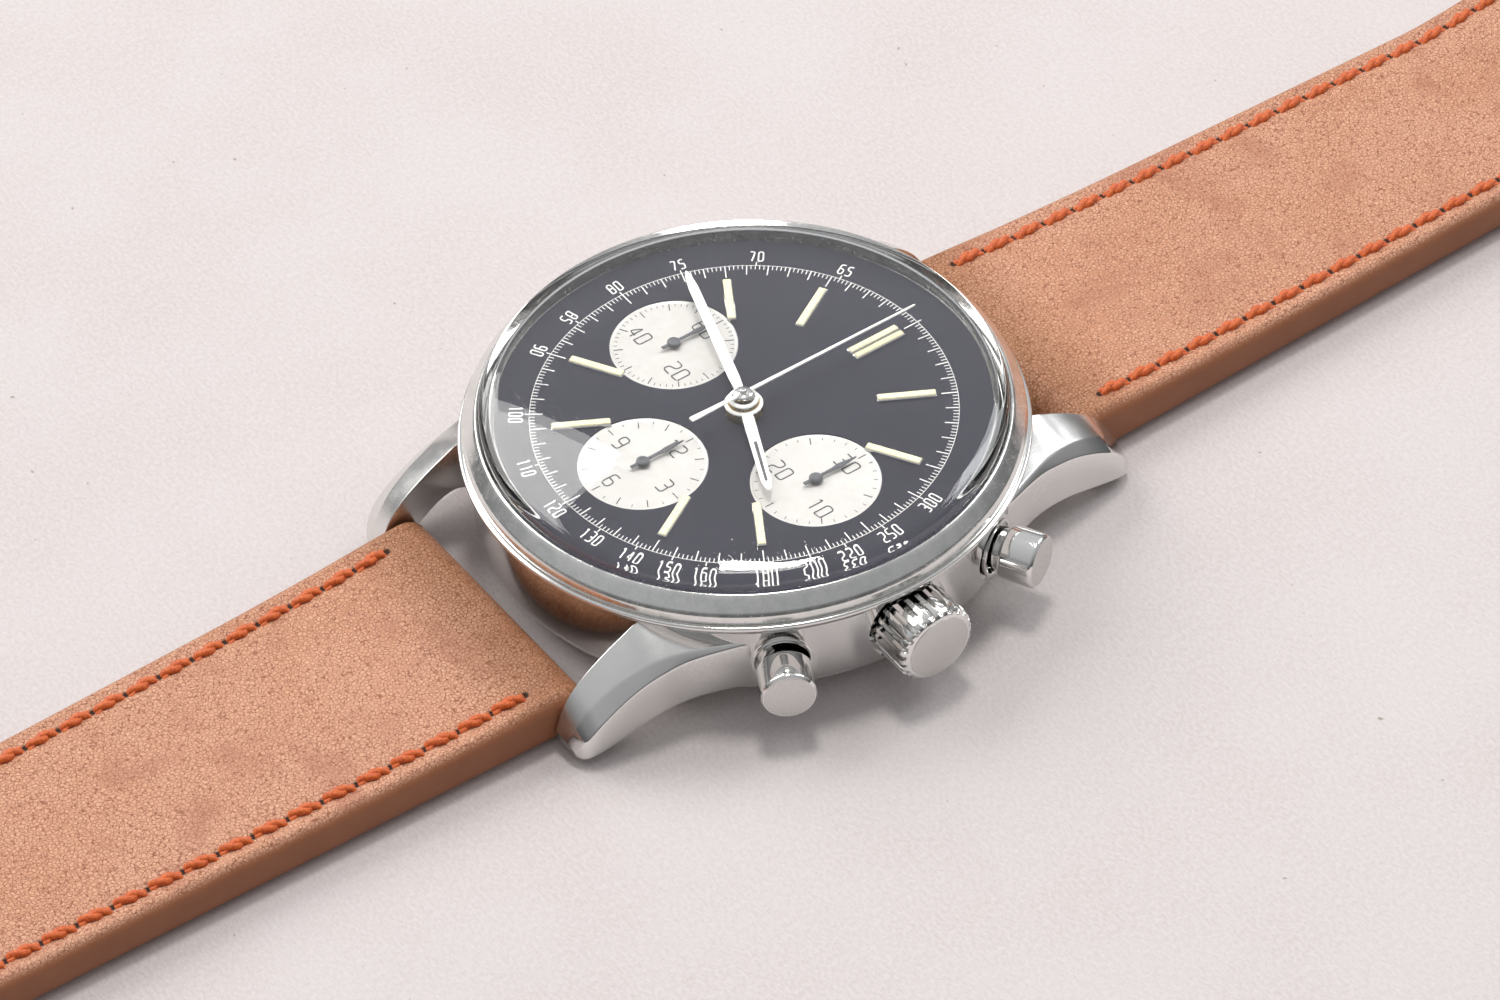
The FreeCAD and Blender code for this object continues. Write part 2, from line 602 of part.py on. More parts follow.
# ---- Movement: going train --------------------------------------------------------------
def wheel_and_pinion(wheel, wheel_z, pinion, pinion_z, phases, name, at):
    return fused([gear(wheel, wheel_z, wheel_z + 0.25, at, phases[name + "_wheel"], windows=5),
                  gear(pinion, pinion_z[0], pinion_z[1], at, phases[name + "_pinion"])])


def centre_wheel(phases):
    body = wheel_and_pinion(CENTRE_WHEEL, 3.7, CENTRE_PINION, (3.9, 4.65), phases, "centre",
                            CENTRE)
    body = fused([body, arbor(0.45, BRIDGE_Z, 9.2, CENTRE)])
    return body.cut(cylinder(0.25, 0, 12))


def third_wheel(phases):
    body = wheel_and_pinion(THIRD_WHEEL, 4.25, THIRD_PINION, (3.68, 4.3), phases, "third", THIRD)
    return fused([body, arbor(PIVOT_R, BRIDGE_Z, 6.0, THIRD)])


def fourth_wheel(phases):
    body = wheel_and_pinion(FOURTH_WHEEL, 4.8, FOURTH_PINION, (4.15, 4.9), phases, "fourth",
                            FOURTH)
    return fused([body, arbor(PIVOT_R, BRIDGE_Z, 8.6, FOURTH)])


def escape_wheel(phases):
    wheel = gear(ESCAPE_WHEEL, 3.75, 3.93, ESCAPE, 12.0, windows=5)
    pinion = gear(ESCAPE_PINION, 3.93, 5.05, ESCAPE, phases["escape_pinion"])
    return fused([wheel, pinion, arbor(PIVOT_R, BRIDGE_Z, 6.0, ESCAPE)])


def pallet_fork():
    """Lever with two pallets towards the escape wheel and a fork towards the balance."""
    to_balance = math.degrees(math.atan2(BALANCE[1] - PALLET[1], BALANCE[0] - PALLET[0]))
    to_escape = math.degrees(math.atan2(ESCAPE[1] - PALLET[1], ESCAPE[0] - PALLET[0]))
    lever = bar_between(PALLET, polar(4.2, to_balance, PALLET), 0.35, 3.75, 3.93)
    arms = [polar(1.15, to_escape + side, PALLET) for side in (75, -75)]
    parts = [lever, cylinder(0.4, 3.75, 3.93, PALLET), arbor(PIVOT_R, BRIDGE_Z, 6.0, PALLET)]
    for arm in arms:
        parts.append(bar_between(PALLET, arm, 0.35, 3.75, 3.93, overrun=0.1))
        parts.append(bar_between(arm, polar(0.75, to_escape, arm), 0.22, 3.75, 3.93))
    return fused(parts)


def balance_wheel():
    rim = ring(4.0, 3.45, 2.95, 3.35, BALANCE)
    spoke = box((BALANCE[0] - 3.6, BALANCE[1] - 0.25, 3.0),
                (BALANCE[0] + 3.6, BALANCE[1] + 0.25, 3.25))
    staff = fused([arbor(PIVOT_R, 1.6, 6.0, BALANCE), cylinder(0.5, 3.45, 3.65, BALANCE),
                   cylinder(0.4, 2.65, 3.5, BALANCE)])
    return fused([rim, spoke, staff])


def hairspring():
    return spiral_band(0.6, 2.6, 6, 0.05, 2.42, 2.6, BALANCE)


# ---- Movement: motion work under the dial -----------------------------------------------
def cannon_pinion(phases):
    leaves = gear(CANNON_PINION, 7.2, 7.42, CENTRE, phases["cannon"])
    tube = cylinder(0.75, 7.15, MINUTE_HAND_Z + 0.15)
    return fused([leaves, tube]).cut(cylinder(0.45 + RUNNING, 0, 12))


def minute_wheel(phases):
    body = fused([gear(MINUTE_WHEEL, 7.2, 7.42, MINUTE_STUD, phases["minute_wheel"]),
                  gear(MINUTE_PINION, 7.4, 7.75, MINUTE_STUD, phases["minute_pinion"])])
    return body.cut(cylinder(0.3 + RUNNING, 0, 12, MINUTE_STUD))


def hour_wheel(phases):
    body = fused([gear(HOUR_WHEEL, 7.5, 7.75, CENTRE, phases["hour"]),
                  cylinder(1.08, 7.5, HOUR_HAND_Z + 0.15)])
    return body.cut(cylinder(0.75 + RUNNING, 0, 12))


# ---- Movement: chronograph works --------------------------------------------------------
HAMMER_PIVOT = (9.5, -9.6)
LEVER_PIVOT = (13.2, 2.9)


def chronograph_wheel():
    wheel = gear(CHRONOGRAPH_WHEEL, 1.5, 1.7, CENTRE, 0.0, windows=5)
    return fused([wheel, arbor(0.2, 1.25, SECONDS_HAND_Z + 0.15, CENTRE),
                  cylinder(0.8, 1.7, 1.95)])


def register_wheel(teeth, at):
    wheel = gear((teeth, 2.5), 1.5, 1.7, at, 0.0, windows=5)
    return fused([wheel, arbor(0.2, 1.25, SMALL_HAND_Z + 0.12, at)])


def column_wheel():
    """Ratchet-toothed wheel that carries six upright columns."""
    body = fused([gear((12, 1.5), 2.25, 2.6, COLUMN_WHEEL, 0.0),
                  gear((6, 1.15), 1.55, 2.25, COLUMN_WHEEL, 0.0)])
    return body.cut(cylinder(0.4 + RUNNING, 0, 9, COLUMN_WHEEL))


def pusher_tab(sign, z_low):
    """Upright ear at the edge of the movement for the pusher's stem to press."""
    at = polar(14.1, sign * PUSHER_ANGLE)
    tab = box((at[0] - 0.3, at[1] - 0.6, z_low), (at[0] + 0.3, at[1] + 0.6, PUSHER_Z + 0.6))
    return spin(tab, sign * PUSHER_ANGLE, at)


def operating_lever():
    tab_at = polar(14.1, PUSHER_ANGLE)
    arm = bar_between(tab_at, LEVER_PIVOT, 1.0, 1.9, 2.2, overrun=0.2)
    hook = bar_between(LEVER_PIVOT, (10.5, -4.4), 0.8, 1.9, 2.2, overrun=0.2)
    boss = cylinder(0.8, 1.9, 2.2, LEVER_PIVOT)
    return fused([arm, hook, boss, pusher_tab(1, 1.9)]).cut(
        cylinder(0.3 + RUNNING, 0, 9, LEVER_PIVOT))


def reset_hammer():
    tab_at = polar(14.1, -PUSHER_ANGLE)
    arm = bar_between(tab_at, HAMMER_PIVOT, 1.0, 2.0, 2.25, overrun=0.2)
    nose = bar_between(HAMMER_PIVOT, (2.3, -2.3), 0.8, 2.0, 2.25, overrun=0.2)
    boss = cylinder(0.9, 2.0, 2.25, HAMMER_PIVOT)
    return fused([arm, nose, boss, pusher_tab(-1, 2.0)]).cut(
        cylinder(0.4 + RUNNING, 0, 9, HAMMER_PIVOT))


# ---- Strap ------------------------------------------------------------------------------
def strap_half_width(y):
    """Half width at a distance y from the dial's axis: 20 mm at the lugs, 16 at the buckle."""
    share = min(1.0, max(0.0, (y - BAR_Y) / (SHORT_END_Y - BAR_Y)))
    return STRAP_HALF_LUG + (STRAP_HALF_END - STRAP_HALF_LUG) * share


def strap_plan(y_from, y_to, z_low=-1.0, z_high=6.0):
    outline = [(strap_half_width(y_from), y_from), (strap_half_width(y_to), y_to),
               (-strap_half_width(y_to), y_to), (-strap_half_width(y_from), y_from)]
    return prism(outline, z_low, z_high)


def side_extrusion(outline):
    """Side outline (y, z) carried across the strap's whole width."""
    wire = Part.makePolygon([Vector(-12, y, z) for y, z in outline + outline[:1]])
    return Part.Face(wire).extrude(Vector(24, 0, 0))


def strap_root():
    """Stretch from the spring bar, round which it is rolled, to the bend."""
    last = BEND_Y - BEND_GAP
    slab = side_extrusion([(BAR_Y, STRAP_FLOOR), (last, STRAP_FLOOR),
                           (last, STRAP_FLOOR + STRAP_THICK), (32.0, STRAP_FLOOR + STRAP_THICK),
                           (26.0, 3.4), (BAR_Y, BAR_Z + STRAP_ROLL_R)])
    roll = rod_x(STRAP_ROLL_R, -STRAP_HALF_LUG, STRAP_HALF_LUG, BAR_Y, BAR_Z)
    strap = fused([slab.common(strap_plan(BAR_Y, last)), roll])
    return strap.cut(rod_x(BAR_R + RUNNING, -12, 12, BAR_Y, BAR_Z))


def mirrored(shape):
    """The same piece on the 6 o'clock side."""
    return spin(shape, 180.0)


def strap_short_end():
    """From the bend to the buckle: it rises over the loops and is rolled round the bar."""
    first = BEND_Y + BEND_GAP
    low, high = STRAP_FLOOR + TAIL_RISE, STRAP_FLOOR + TAIL_RISE + STRAP_THICK
    slab = side_extrusion([(first, STRAP_FLOOR), (72.0, low), (SHORT_END_Y, low),
                           (SHORT_END_Y, high), (72.0, high), (first, STRAP_FLOOR + STRAP_THICK)])
    roll = rod_x(STRAP_THICK / 2, -STRAP_HALF_END, STRAP_HALF_END, SHORT_END_Y, BUCKLE_BAR_Z - 0.1)
    strap = fused([slab.common(strap_plan(first, SHORT_END_Y)), roll])
    strap = strap.cut(box((-1.3, 91.8, 0), (1.3, 98.0, 6)))
    return strap.cut(rod_x(BAR_R + RUNNING, -12, 12, SHORT_END_Y, BUCKLE_BAR_Z - 0.1))


def strap_long_end():
    """Tail with its row of holes and a rounded tip, drawn on the 12 o'clock side."""
    first = BEND_Y + BEND_GAP
    low, high = STRAP_FLOOR, STRAP_FLOOR + STRAP_THICK
    shoulder = LONG_END_Y - STRAP_HALF_END
    body = strap_plan(first, shoulder, low, high)
    tail = fused([body, cylinder(STRAP_HALF_END, low, high, (0, shoulder))])
    for index in range(7):
        tail = tail.cut(cylinder(1.0, -1, 6, (0, 88.0 + 6.0 * index)))
    return mirrored(tail)


def loop(y_low, y_high):
    """Leather keeper: a flat band round the strap with an arched top."""
    inner = strap_half_width(y_low) + 0.3
    low = STRAP_FLOOR + TAIL_RISE - 0.1
    outside = box((-inner - 1.0, y_low, low - 0.9), (inner + 1.0, y_high, low + 7.4))
    along = [edge for edge in outside.Edges if abs(edge.Length - (y_high - y_low)) < 1e-6]
    outside = outside.makeFillet(0.85, along)
    hollow = box((-inner, y_low - 1, low), (inner, y_high + 1, low + 6.5))
    return outside.cut(hollow)


def spring_bars():
    bars = []
    for y in (BAR_Y, -BAR_Y):
        tips = rod_x(0.4, -11.4, 11.4, y, BAR_Z)
        bars.append(fused([rod_x(BAR_R, -9.9, 9.9, y, BAR_Z), tips]))
    return Part.makeCompound(bars)


def buckle_bar():
    z = BUCKLE_BAR_Z - 0.1
    return fused([rod_x(BAR_R, -8.35, 8.35, SHORT_END_Y, z), rod_x(0.4, -9.6, 9.6, SHORT_END_Y, z)])


def buckle_frame():
    """Round-cornered loop of flat bar; its two arms turn on the buckle bar."""
    z = BUCKLE_BAR_Z - 0.1
    outer = box((-10.2, SHORT_END_Y - 1.6, z - 1.0), (10.2, BUCKLE_FRONT_Y, z + 1.0))
    corners = [edge for edge in outer.Edges
               if abs(edge.Length - 2.0) < 1e-6 and edge.CenterOfMass.y > SHORT_END_Y + 5]
    outer = outer.makeFillet(4.0, corners)
    inner = box((-8.45, SHORT_END_Y - 3, z - 3), (8.45, BUCKLE_FRONT_Y - 2.0, z + 3))
    corners = [edge for edge in inner.Edges
               if abs(edge.Length - 6.0) < 1e-6 and edge.CenterOfMass.y > SHORT_END_Y + 5]
    inner = inner.makeFillet(2.2, corners)
    frame = outer.cut(inner)
    return frame.cut(rod_x(0.4 + RUNNING, -9.7, 9.7, SHORT_END_Y, z))


def buckle_tongue():
    """Pin with an eye round the bar; its tip rests on the front of the frame."""
    z = BUCKLE_BAR_Z - 0.1
    eye = rod_x(1.3, -0.9, 0.9, SHORT_END_Y, z)
    blade = side_extrusion([(SHORT_END_Y, z + 0.2), (SHORT_END_Y + 2.0, z + 0.55),
                            (BUCKLE_FRONT_Y - 2.4, z + 1.05), (BUCKLE_FRONT_Y + 0.4, z + 1.05),
                            (BUCKLE_FRONT_Y + 0.5, z + 1.4), (BUCKLE_FRONT_Y - 2.6, z + 1.8),
                            (SHORT_END_Y + 2.0, z + 1.3), (SHORT_END_Y, z + 1.3)])
    blade = blade.common(box((-0.9, 90, 0), (0.9, 110, 9)))
    return fused([eye, blade]).cut(rod_x(BAR_R + RUNNING, -12, 12, SHORT_END_Y, z))


# ---- Tooth phases: each mate's gaps fall on its driver's teeth --------------------------
def tooth_phases():
    phases = {"centre_pinion": 0.0, "centre_wheel": 0.0, "third_wheel": 0.0, "fourth_wheel": 0.0,
              "cannon": 0.0, "ratchet": 0.0, "minute_pinion": 0.0}
    phases["barrel"] = mate_phase(0.0, CENTRE_PINION, CENTRE, BARREL_TEETH, BARREL)
    phases["third_pinion"] = mate_phase(0.0, CENTRE_WHEEL, CENTRE, THIRD_PINION, THIRD)
    phases["fourth_pinion"] = mate_phase(0.0, THIRD_WHEEL, THIRD, FOURTH_PINION, FOURTH)
    phases["escape_pinion"] = mate_phase(0.0, FOURTH_WHEEL, FOURTH, ESCAPE_PINION, ESCAPE)
    phases["minute_wheel"] = mate_phase(0.0, CANNON_PINION, CENTRE, MINUTE_WHEEL, MINUTE_STUD)
    phases["hour"] = mate_phase(0.0, MINUTE_PINION, MINUTE_STUD, HOUR_WHEEL, CENTRE)
    phases["crown"] = mate_phase(0.0, RATCHET_WHEEL, BARREL, CROWN_WHEEL_TEETH, CROWN_WHEEL)
    return phases


def all_pieces():
    phases = tooth_phases()
    return {
        "case_middle": case_middle(), "case_back": case_back(), "bezel": bezel(),
        "case_back_gasket": case_back_gasket(), "crystal": crystal(),
        "casing_ring": casing_ring(), "crown_tube": crown_tube(), "pusher_tubes": pusher_tubes(),
        "crown": crown(), "winding_stem": winding_stem(),
        "start_pusher": pusher(1), "reset_pusher": pusher(-1),
        "start_pusher_spring": pusher_spring(1), "reset_pusher_spring": pusher_spring(-1),
        "dial": dial(), "hour_markers": hour_markers(),
        "hour_hand": hour_hand(), "minute_hand": minute_hand(),
        "chronograph_hand": chronograph_hand(),
        "running_seconds_hand": register_hand(FOURTH, PIVOT_R),
        "minute_register_hand": register_hand(MINUTE_REGISTER, 0.2),
        "hour_register_hand": register_hand(HOUR_REGISTER, 0.2),
        "main_plate": main_plate(), "barrel_bridge": barrel_bridge(),
        "train_bridge": train_bridge(), "balance_cock": balance_cock(),
        "movement_screws": movement_screws(),
        "barrel_drum": barrel_drum(phases), "barrel_arbor": barrel_arbor(),
        "mainspring": mainspring(), "ratchet_wheel": ratchet_wheel(phases),
        "crown_wheel": crown_wheel(phases), "winding_pinion": winding_pinion(),
        "sliding_pinion": sliding_pinion(),
        "centre_wheel": centre_wheel(phases), "third_wheel": third_wheel(phases),
        "fourth_wheel": fourth_wheel(phases), "escape_wheel": escape_wheel(phases),
        "pallet_fork": pallet_fork(), "balance_wheel": balance_wheel(),
        "hairspring": hairspring(),
        "cannon_pinion": cannon_pinion(phases), "minute_wheel": minute_wheel(phases),
        "hour_wheel": hour_wheel(phases),
        "chronograph_wheel": chronograph_wheel(),
        "minute_register_wheel": register_wheel(60, MINUTE_REGISTER),
        "hour_register_wheel": register_wheel(48, HOUR_REGISTER),
        "column_wheel": column_wheel(), "operating_lever": operating_lever(),
        "reset_hammer": reset_hammer(),
        "spring_bars": spring_bars(),
        "strap_12_root": strap_root(), "strap_12_end": strap_short_end(),
        "strap_6_root": mirrored(strap_root()), "strap_6_end": strap_long_end(),
        "fixed_keeper": loop(86.0, 91.0), "free_keeper": loop(78.0, 83.0),
        "buckle_bar": buckle_bar(), "buckle_frame": buckle_frame(),
        "buckle_tongue": buckle_tongue(),
    }


os.makedirs("parts", exist_ok=True)
for name, shape in all_pieces().items():
    assert shape.isValid() and shape.Volume > 0, name
    shape.exportStep("parts/" + name + ".step")
    print(f"{name:24s} {shape.Volume:10.2f} mm3  solids {len(shape.Solids)}")
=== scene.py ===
"""Looks of a hand-wound three-register chronograph wristwatch on a stitched leather strap.

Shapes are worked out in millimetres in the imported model's frame: +X to the crown, +Y to twelve
o'clock, +Z up through the dial. They become metres when they are put into a mesh.
"""

import json
import math

import bpy
import numpy as np
from mathutils import Matrix, Vector


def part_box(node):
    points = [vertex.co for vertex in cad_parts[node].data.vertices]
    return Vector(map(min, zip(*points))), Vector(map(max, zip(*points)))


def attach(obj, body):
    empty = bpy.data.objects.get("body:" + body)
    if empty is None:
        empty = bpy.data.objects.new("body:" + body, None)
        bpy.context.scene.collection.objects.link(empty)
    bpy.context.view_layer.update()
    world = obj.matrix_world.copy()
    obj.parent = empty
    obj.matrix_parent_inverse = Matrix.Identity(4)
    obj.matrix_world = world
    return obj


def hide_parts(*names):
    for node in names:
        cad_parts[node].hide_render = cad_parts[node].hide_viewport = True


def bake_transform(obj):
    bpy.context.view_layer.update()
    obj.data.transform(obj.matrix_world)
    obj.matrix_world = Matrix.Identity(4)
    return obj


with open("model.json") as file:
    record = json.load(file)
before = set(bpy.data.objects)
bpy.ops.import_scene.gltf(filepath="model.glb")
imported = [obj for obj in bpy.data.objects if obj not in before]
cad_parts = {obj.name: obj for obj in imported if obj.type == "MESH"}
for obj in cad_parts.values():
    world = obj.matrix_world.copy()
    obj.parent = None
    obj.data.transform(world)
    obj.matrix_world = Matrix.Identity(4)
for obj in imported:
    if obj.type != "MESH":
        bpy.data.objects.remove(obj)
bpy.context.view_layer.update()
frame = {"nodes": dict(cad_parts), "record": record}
MM = 0.001
TAU = 2 * math.pi


def cad_box(node):
    """Lowest and highest corner of a CAD node, in millimetres."""
    low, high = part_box(node)
    return np.array(low) / MM, np.array(high) / MM


# ---- Sizes read from the frame, and the few that it can't give ---------------------------
CRYSTAL_TOP_Z = cad_box("crystal")[1][2]
DIAL_Z = cad_box("dial")[1][2]
TIP_Y = -cad_box("strap_6_end")[0][1]
BAR_LOW, BAR_HIGH = cad_box("buckle_bar")
FRAME_LOW, FRAME_HIGH = cad_box("buckle_frame")
BUCKLE_Y, BUCKLE_Z = ((BAR_LOW + BAR_HIGH) / 2)[1:]

REGISTER_OFFSET = 7.75
REGISTER_R = 4.12
REGISTER_Z = DIAL_Z - 0.12
CASE_BORE_R = 16.2
FLANK_LOW_Z = 1.9
BEZEL_Z = 7.6
CROWN_Z = 4.2
CROWN_RECESS_R = 2.95
PUSHER_Z = 3.9
PUSHER_ANGLE = math.radians(28)
PUSHER_BORE_R = 1.93
PUSHER_RECESS_R = 2.2
BAR_Y = 20.5
BAR_Z = 1.85
ROLL_R = 1.75
STRAP_FLOOR = 0.1
TAPER_END_Y = 95.5
HALF_AT_LUG = 9.8
HALF_AT_BUCKLE = 7.95
TAIL_RISE = 1.05
TAIL_ROLL_R = 1.5


# ---- Making meshes ----------------------------------------------------------------------
def shell(loops, ring=False):
    """Closed shell through loops of points, an array (loops, points round, 3).

    Neighbouring loops are joined with quads. A ring's last loop joins its first; otherwise a
    fan closes each end on the mean point of its loop. The faces are turned round if the
    volume they enclose comes out negative.
    """
    count, around, _ = loops.shape
    points = loops.reshape(-1, 3)
    row = np.arange(count if ring else count - 1)[:, None]
    column = np.arange(around)[None, :]
    beside, above = (column + 1) % around, (row + 1) % count
    quads = np.stack([row * around + column, row * around + beside,
                      above * around + beside, above * around + column], -1).reshape(-1, 4)
    fans = np.zeros((0, 3), int)
    if not ring:
        rim, after = np.arange(around), (np.arange(around) + 1) % around
        top = (count - 1) * around
        points = np.vstack([points, loops[0].mean(0), loops[-1].mean(0)])
        fans = np.vstack([np.stack([after, rim, np.full(around, count * around)], 1),
                          np.stack([top + rim, top + after,
                                    np.full(around, count * around + 1)], 1)])
    corners = np.vstack([quads[:, [0, 1, 2]], quads[:, [0, 2, 3]], fans])
    volume = np.sum(points[corners[:, 0]] * np.cross(points[corners[:, 1]],
                                                     points[corners[:, 2]]))
    if volume < 0:
        quads, fans = quads[:, ::-1], fans[:, ::-1]
    return points, quads, fans


def copies(one, places):
    """The same small shell at many places: places is a function of its points (N, 3) that
    returns an array (copies, N, 3)."""
    points, quads, fans = one
    placed = places(points)
    step = (np.arange(len(placed)) * len(points))[:, None, None]
    return (placed.reshape(-1, 3), (quads[None] + step).reshape(-1, 4),
            (fans[None] + step).reshape(-1, 3))


def eased(corners, reach, steps=4, closed=True):
    """Outline with each corner swapped for a short parabola that starts and ends a given
    reach along its two sides. Works on arrays (..., corners, dimensions)."""
    corners = np.asarray(corners, float)
    reach = np.broadcast_to(np.asarray(reach, float), corners.shape[:-1])[..., None]
    before = np.roll(corners, 1, -2) - corners
    after = np.roll(corners, -1, -2) - corners
    size_before = np.linalg.norm(before, axis=-1, keepdims=True) + 1e-9
    size_after = np.linalg.norm(after, axis=-1, keepdims=True) + 1e-9
    start = corners + before * np.minimum(reach, 0.45 * size_before) / size_before
    end = corners + after * np.minimum(reach, 0.45 * size_after) / size_after
    t = np.linspace(0, 1, steps + 1)[:, None]
    curve = ((1 - t) ** 2 * start[..., None, :] + 2 * t * (1 - t) * corners[..., None, :]
             + t ** 2 * end[..., None, :])
    flat = curve.reshape(*corners.shape[:-2], -1, corners.shape[-1])
    if closed:
        return flat
    inner = curve[..., 1:-1, :, :].reshape(*corners.shape[:-2], -1, corners.shape[-1])
    return np.concatenate([corners[..., :1, :], inner, corners[..., -1:, :]], -2)


def subdivided(points, steps):
    """An open path, or a list of numbers, with each step cut into equal shorter ones."""
    return np.concatenate([np.linspace(a, b, steps, endpoint=False)
                           for a, b in zip(points[:-1], points[1:])] + [points[-1:]])


def turned_ring(profile, segments=180, at=(0.0, 0.0)):
    """Closed outline (radius, height) carried once round an upright axis."""
    angle = np.linspace(0, TAU, segments, endpoint=False)[:, None]
    radius, height = profile[:, 0][None], profile[:, 1][None]
    return shell(np.stack([at[0] + radius * np.cos(angle), at[1] + radius * np.sin(angle),
                           height + 0 * angle], -1), ring=True)


def turned_solid(profile, segments=96, at=(0.0, 0.0)):
    """Open outline (radius, height), one circle for each point, closed flat at both ends."""
    angle = np.linspace(0, TAU, segments, endpoint=False)[None]
    radius, height = profile[:, 0][:, None], profile[:, 1][:, None]
    return shell(np.stack([at[0] + radius * np.cos(angle), at[1] + radius * np.sin(angle),
                           height + 0 * angle], -1))


def laid_along(one, angle, height):
    """A shell turned on Z, laid over so that its Z runs outwards at an angle in plan."""
    points, quads, fans = one
    outwards = np.array([math.cos(angle), math.sin(angle), 0])
    sideways = np.array([-math.sin(angle), math.cos(angle), 0])
    up = np.array([0, 0, 1.0])
    moved = (points[:, :1] * sideways + points[:, 1:2] * up + points[:, 2:] * outwards)
    return moved + up * height, quads, fans


def smooth_stations(stations, count):
    """Catmull-Rom curve through an array (stations, ...), sampled at count even steps."""
    padded = np.concatenate([2 * stations[:1] - stations[1:2], stations,
                             2 * stations[-1:] - stations[-2:-1]])
    at = np.linspace(0, len(stations) - 1, count)
    cell = np.minimum(at.astype(int), len(stations) - 2)
    t = (at - cell).reshape(-1, *[1] * (stations.ndim - 1))
    a, b, c, d = (padded[cell + offset] for offset in range(4))
    return 0.5 * (2 * b + (c - a) * t + (2 * a - 5 * b + 4 * c - d) * t ** 2
                  + (3 * b - a - 3 * c + d) * t ** 3)


def make_mesh(name, shells):
    """One mesh object, in metres, from shells in millimetres."""
    points, faces, start = [], [], 0
    for shell_points, quads, fans in shells:
        points.append(shell_points * MM)
        faces += (quads + start).tolist() + (fans + start).tolist()
        start += len(shell_points)
    mesh = bpy.data.meshes.new(name)
    mesh.from_pydata(np.vstack(points).tolist(), [], faces)
    mesh.update()
    piece = bpy.data.objects.new(name, mesh)
    bpy.context.scene.collection.objects.link(piece)
    return piece


def finished(piece, material, sharp=32.0):
    """Material and shading: edges that turn by more than the given degrees stay crisp."""
    piece.data.materials.clear()
    piece.data.materials.append(material)
    piece.data.shade_smooth()
    piece.data.set_sharp_from_angle(angle=math.radians(sharp))
    return piece


def dressed(piece, material, body, slot, nodes=(), sharp=32.0):
    """The piece finished, riding on a body and standing for the given CAD nodes."""
    finished(piece, material, sharp)
    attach(piece, body)
    if nodes:
        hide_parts(*nodes)
    return piece


def fitted(name, shells, *dress, **more):
    """A new piece from shells, dressed."""
    return dressed(make_mesh(name, shells), *dress, **more)


def drilled(piece, drills):
    """The piece with closed shells taken away from it."""
    cutter = make_mesh("drill", drills)
    cut = piece.modifiers.new("drill", "BOOLEAN")
    cut.object, cut.operation, cut.solver = cutter, "DIFFERENCE", "EXACT"
    graph = bpy.context.evaluated_depsgraph_get()
    mesh = bpy.data.meshes.new_from_object(piece.evaluated_get(graph))
    piece.modifiers.clear()
    piece.data = mesh
    bpy.data.objects.remove(cutter)
    return piece


def points_of(piece):
    """The piece's points in millimetres."""
    flat = np.zeros(len(piece.data.vertices) * 3)
    piece.data.vertices.foreach_get("co", flat)
    return flat.reshape(-1, 3) / MM


def store(piece, name, values):
    """Values at the points: a number each, or three numbers each."""
    kind = "FLOAT" if values.ndim == 1 else "FLOAT_VECTOR"
    attribute = piece.data.attributes.new(name, kind, "POINT")
    attribute.data.foreach_set("value" if values.ndim == 1 else "vector",
                               values.astype(np.float32).ravel())


# ---- Materials --------------------------------------------------------------------------
class Nodes:
    """A node tree, with short calls that add nodes and join them."""

    def __init__(self, tree):
        self.tree = tree

    def feed(self, socket, value):
        if isinstance(value, bpy.types.NodeSocket):
            self.tree.links.new(value, socket)
        elif isinstance(value, (tuple, list)) and len(value) == 3 and socket.type == "RGBA":
            socket.default_value = (*value, 1.0)
        else:
            socket.default_value = value

    def node(self, kind, inputs=(), **settings):
        node = self.tree.nodes.new("ShaderNode" + kind)
        for key, value in settings.items():
            setattr(node, key, value)
        for key, value in dict(inputs).items():
            self.feed(node.inputs[key], value)
        return node

    def calc(self, operation, a, b=0.0, c=0.0):
        node = self.node("Math", operation=operation)
        for socket, value in zip(node.inputs, (a, b, c)):
            self.feed(socket, value)
        return node.outputs[0]

    def ramp(self, value, low, high, out_low=0.0, out_high=1.0, kind="SMOOTHSTEP"):
        """Value stretched from low..high to out_low..out_high; its ends are soft unless the
        kind is linear."""
        return self.node("MapRange", {"Value": value, "From Min": low, "From Max": high,
                                      "To Min": out_low, "To Max": out_high},
                         interpolation_type=kind).outputs["Result"]

    def vector(self, operation, a, b=(0, 0, 0), result="Vector"):
        return self.node("VectorMath", {0: a, 1: b}, operation=operation).outputs[result]


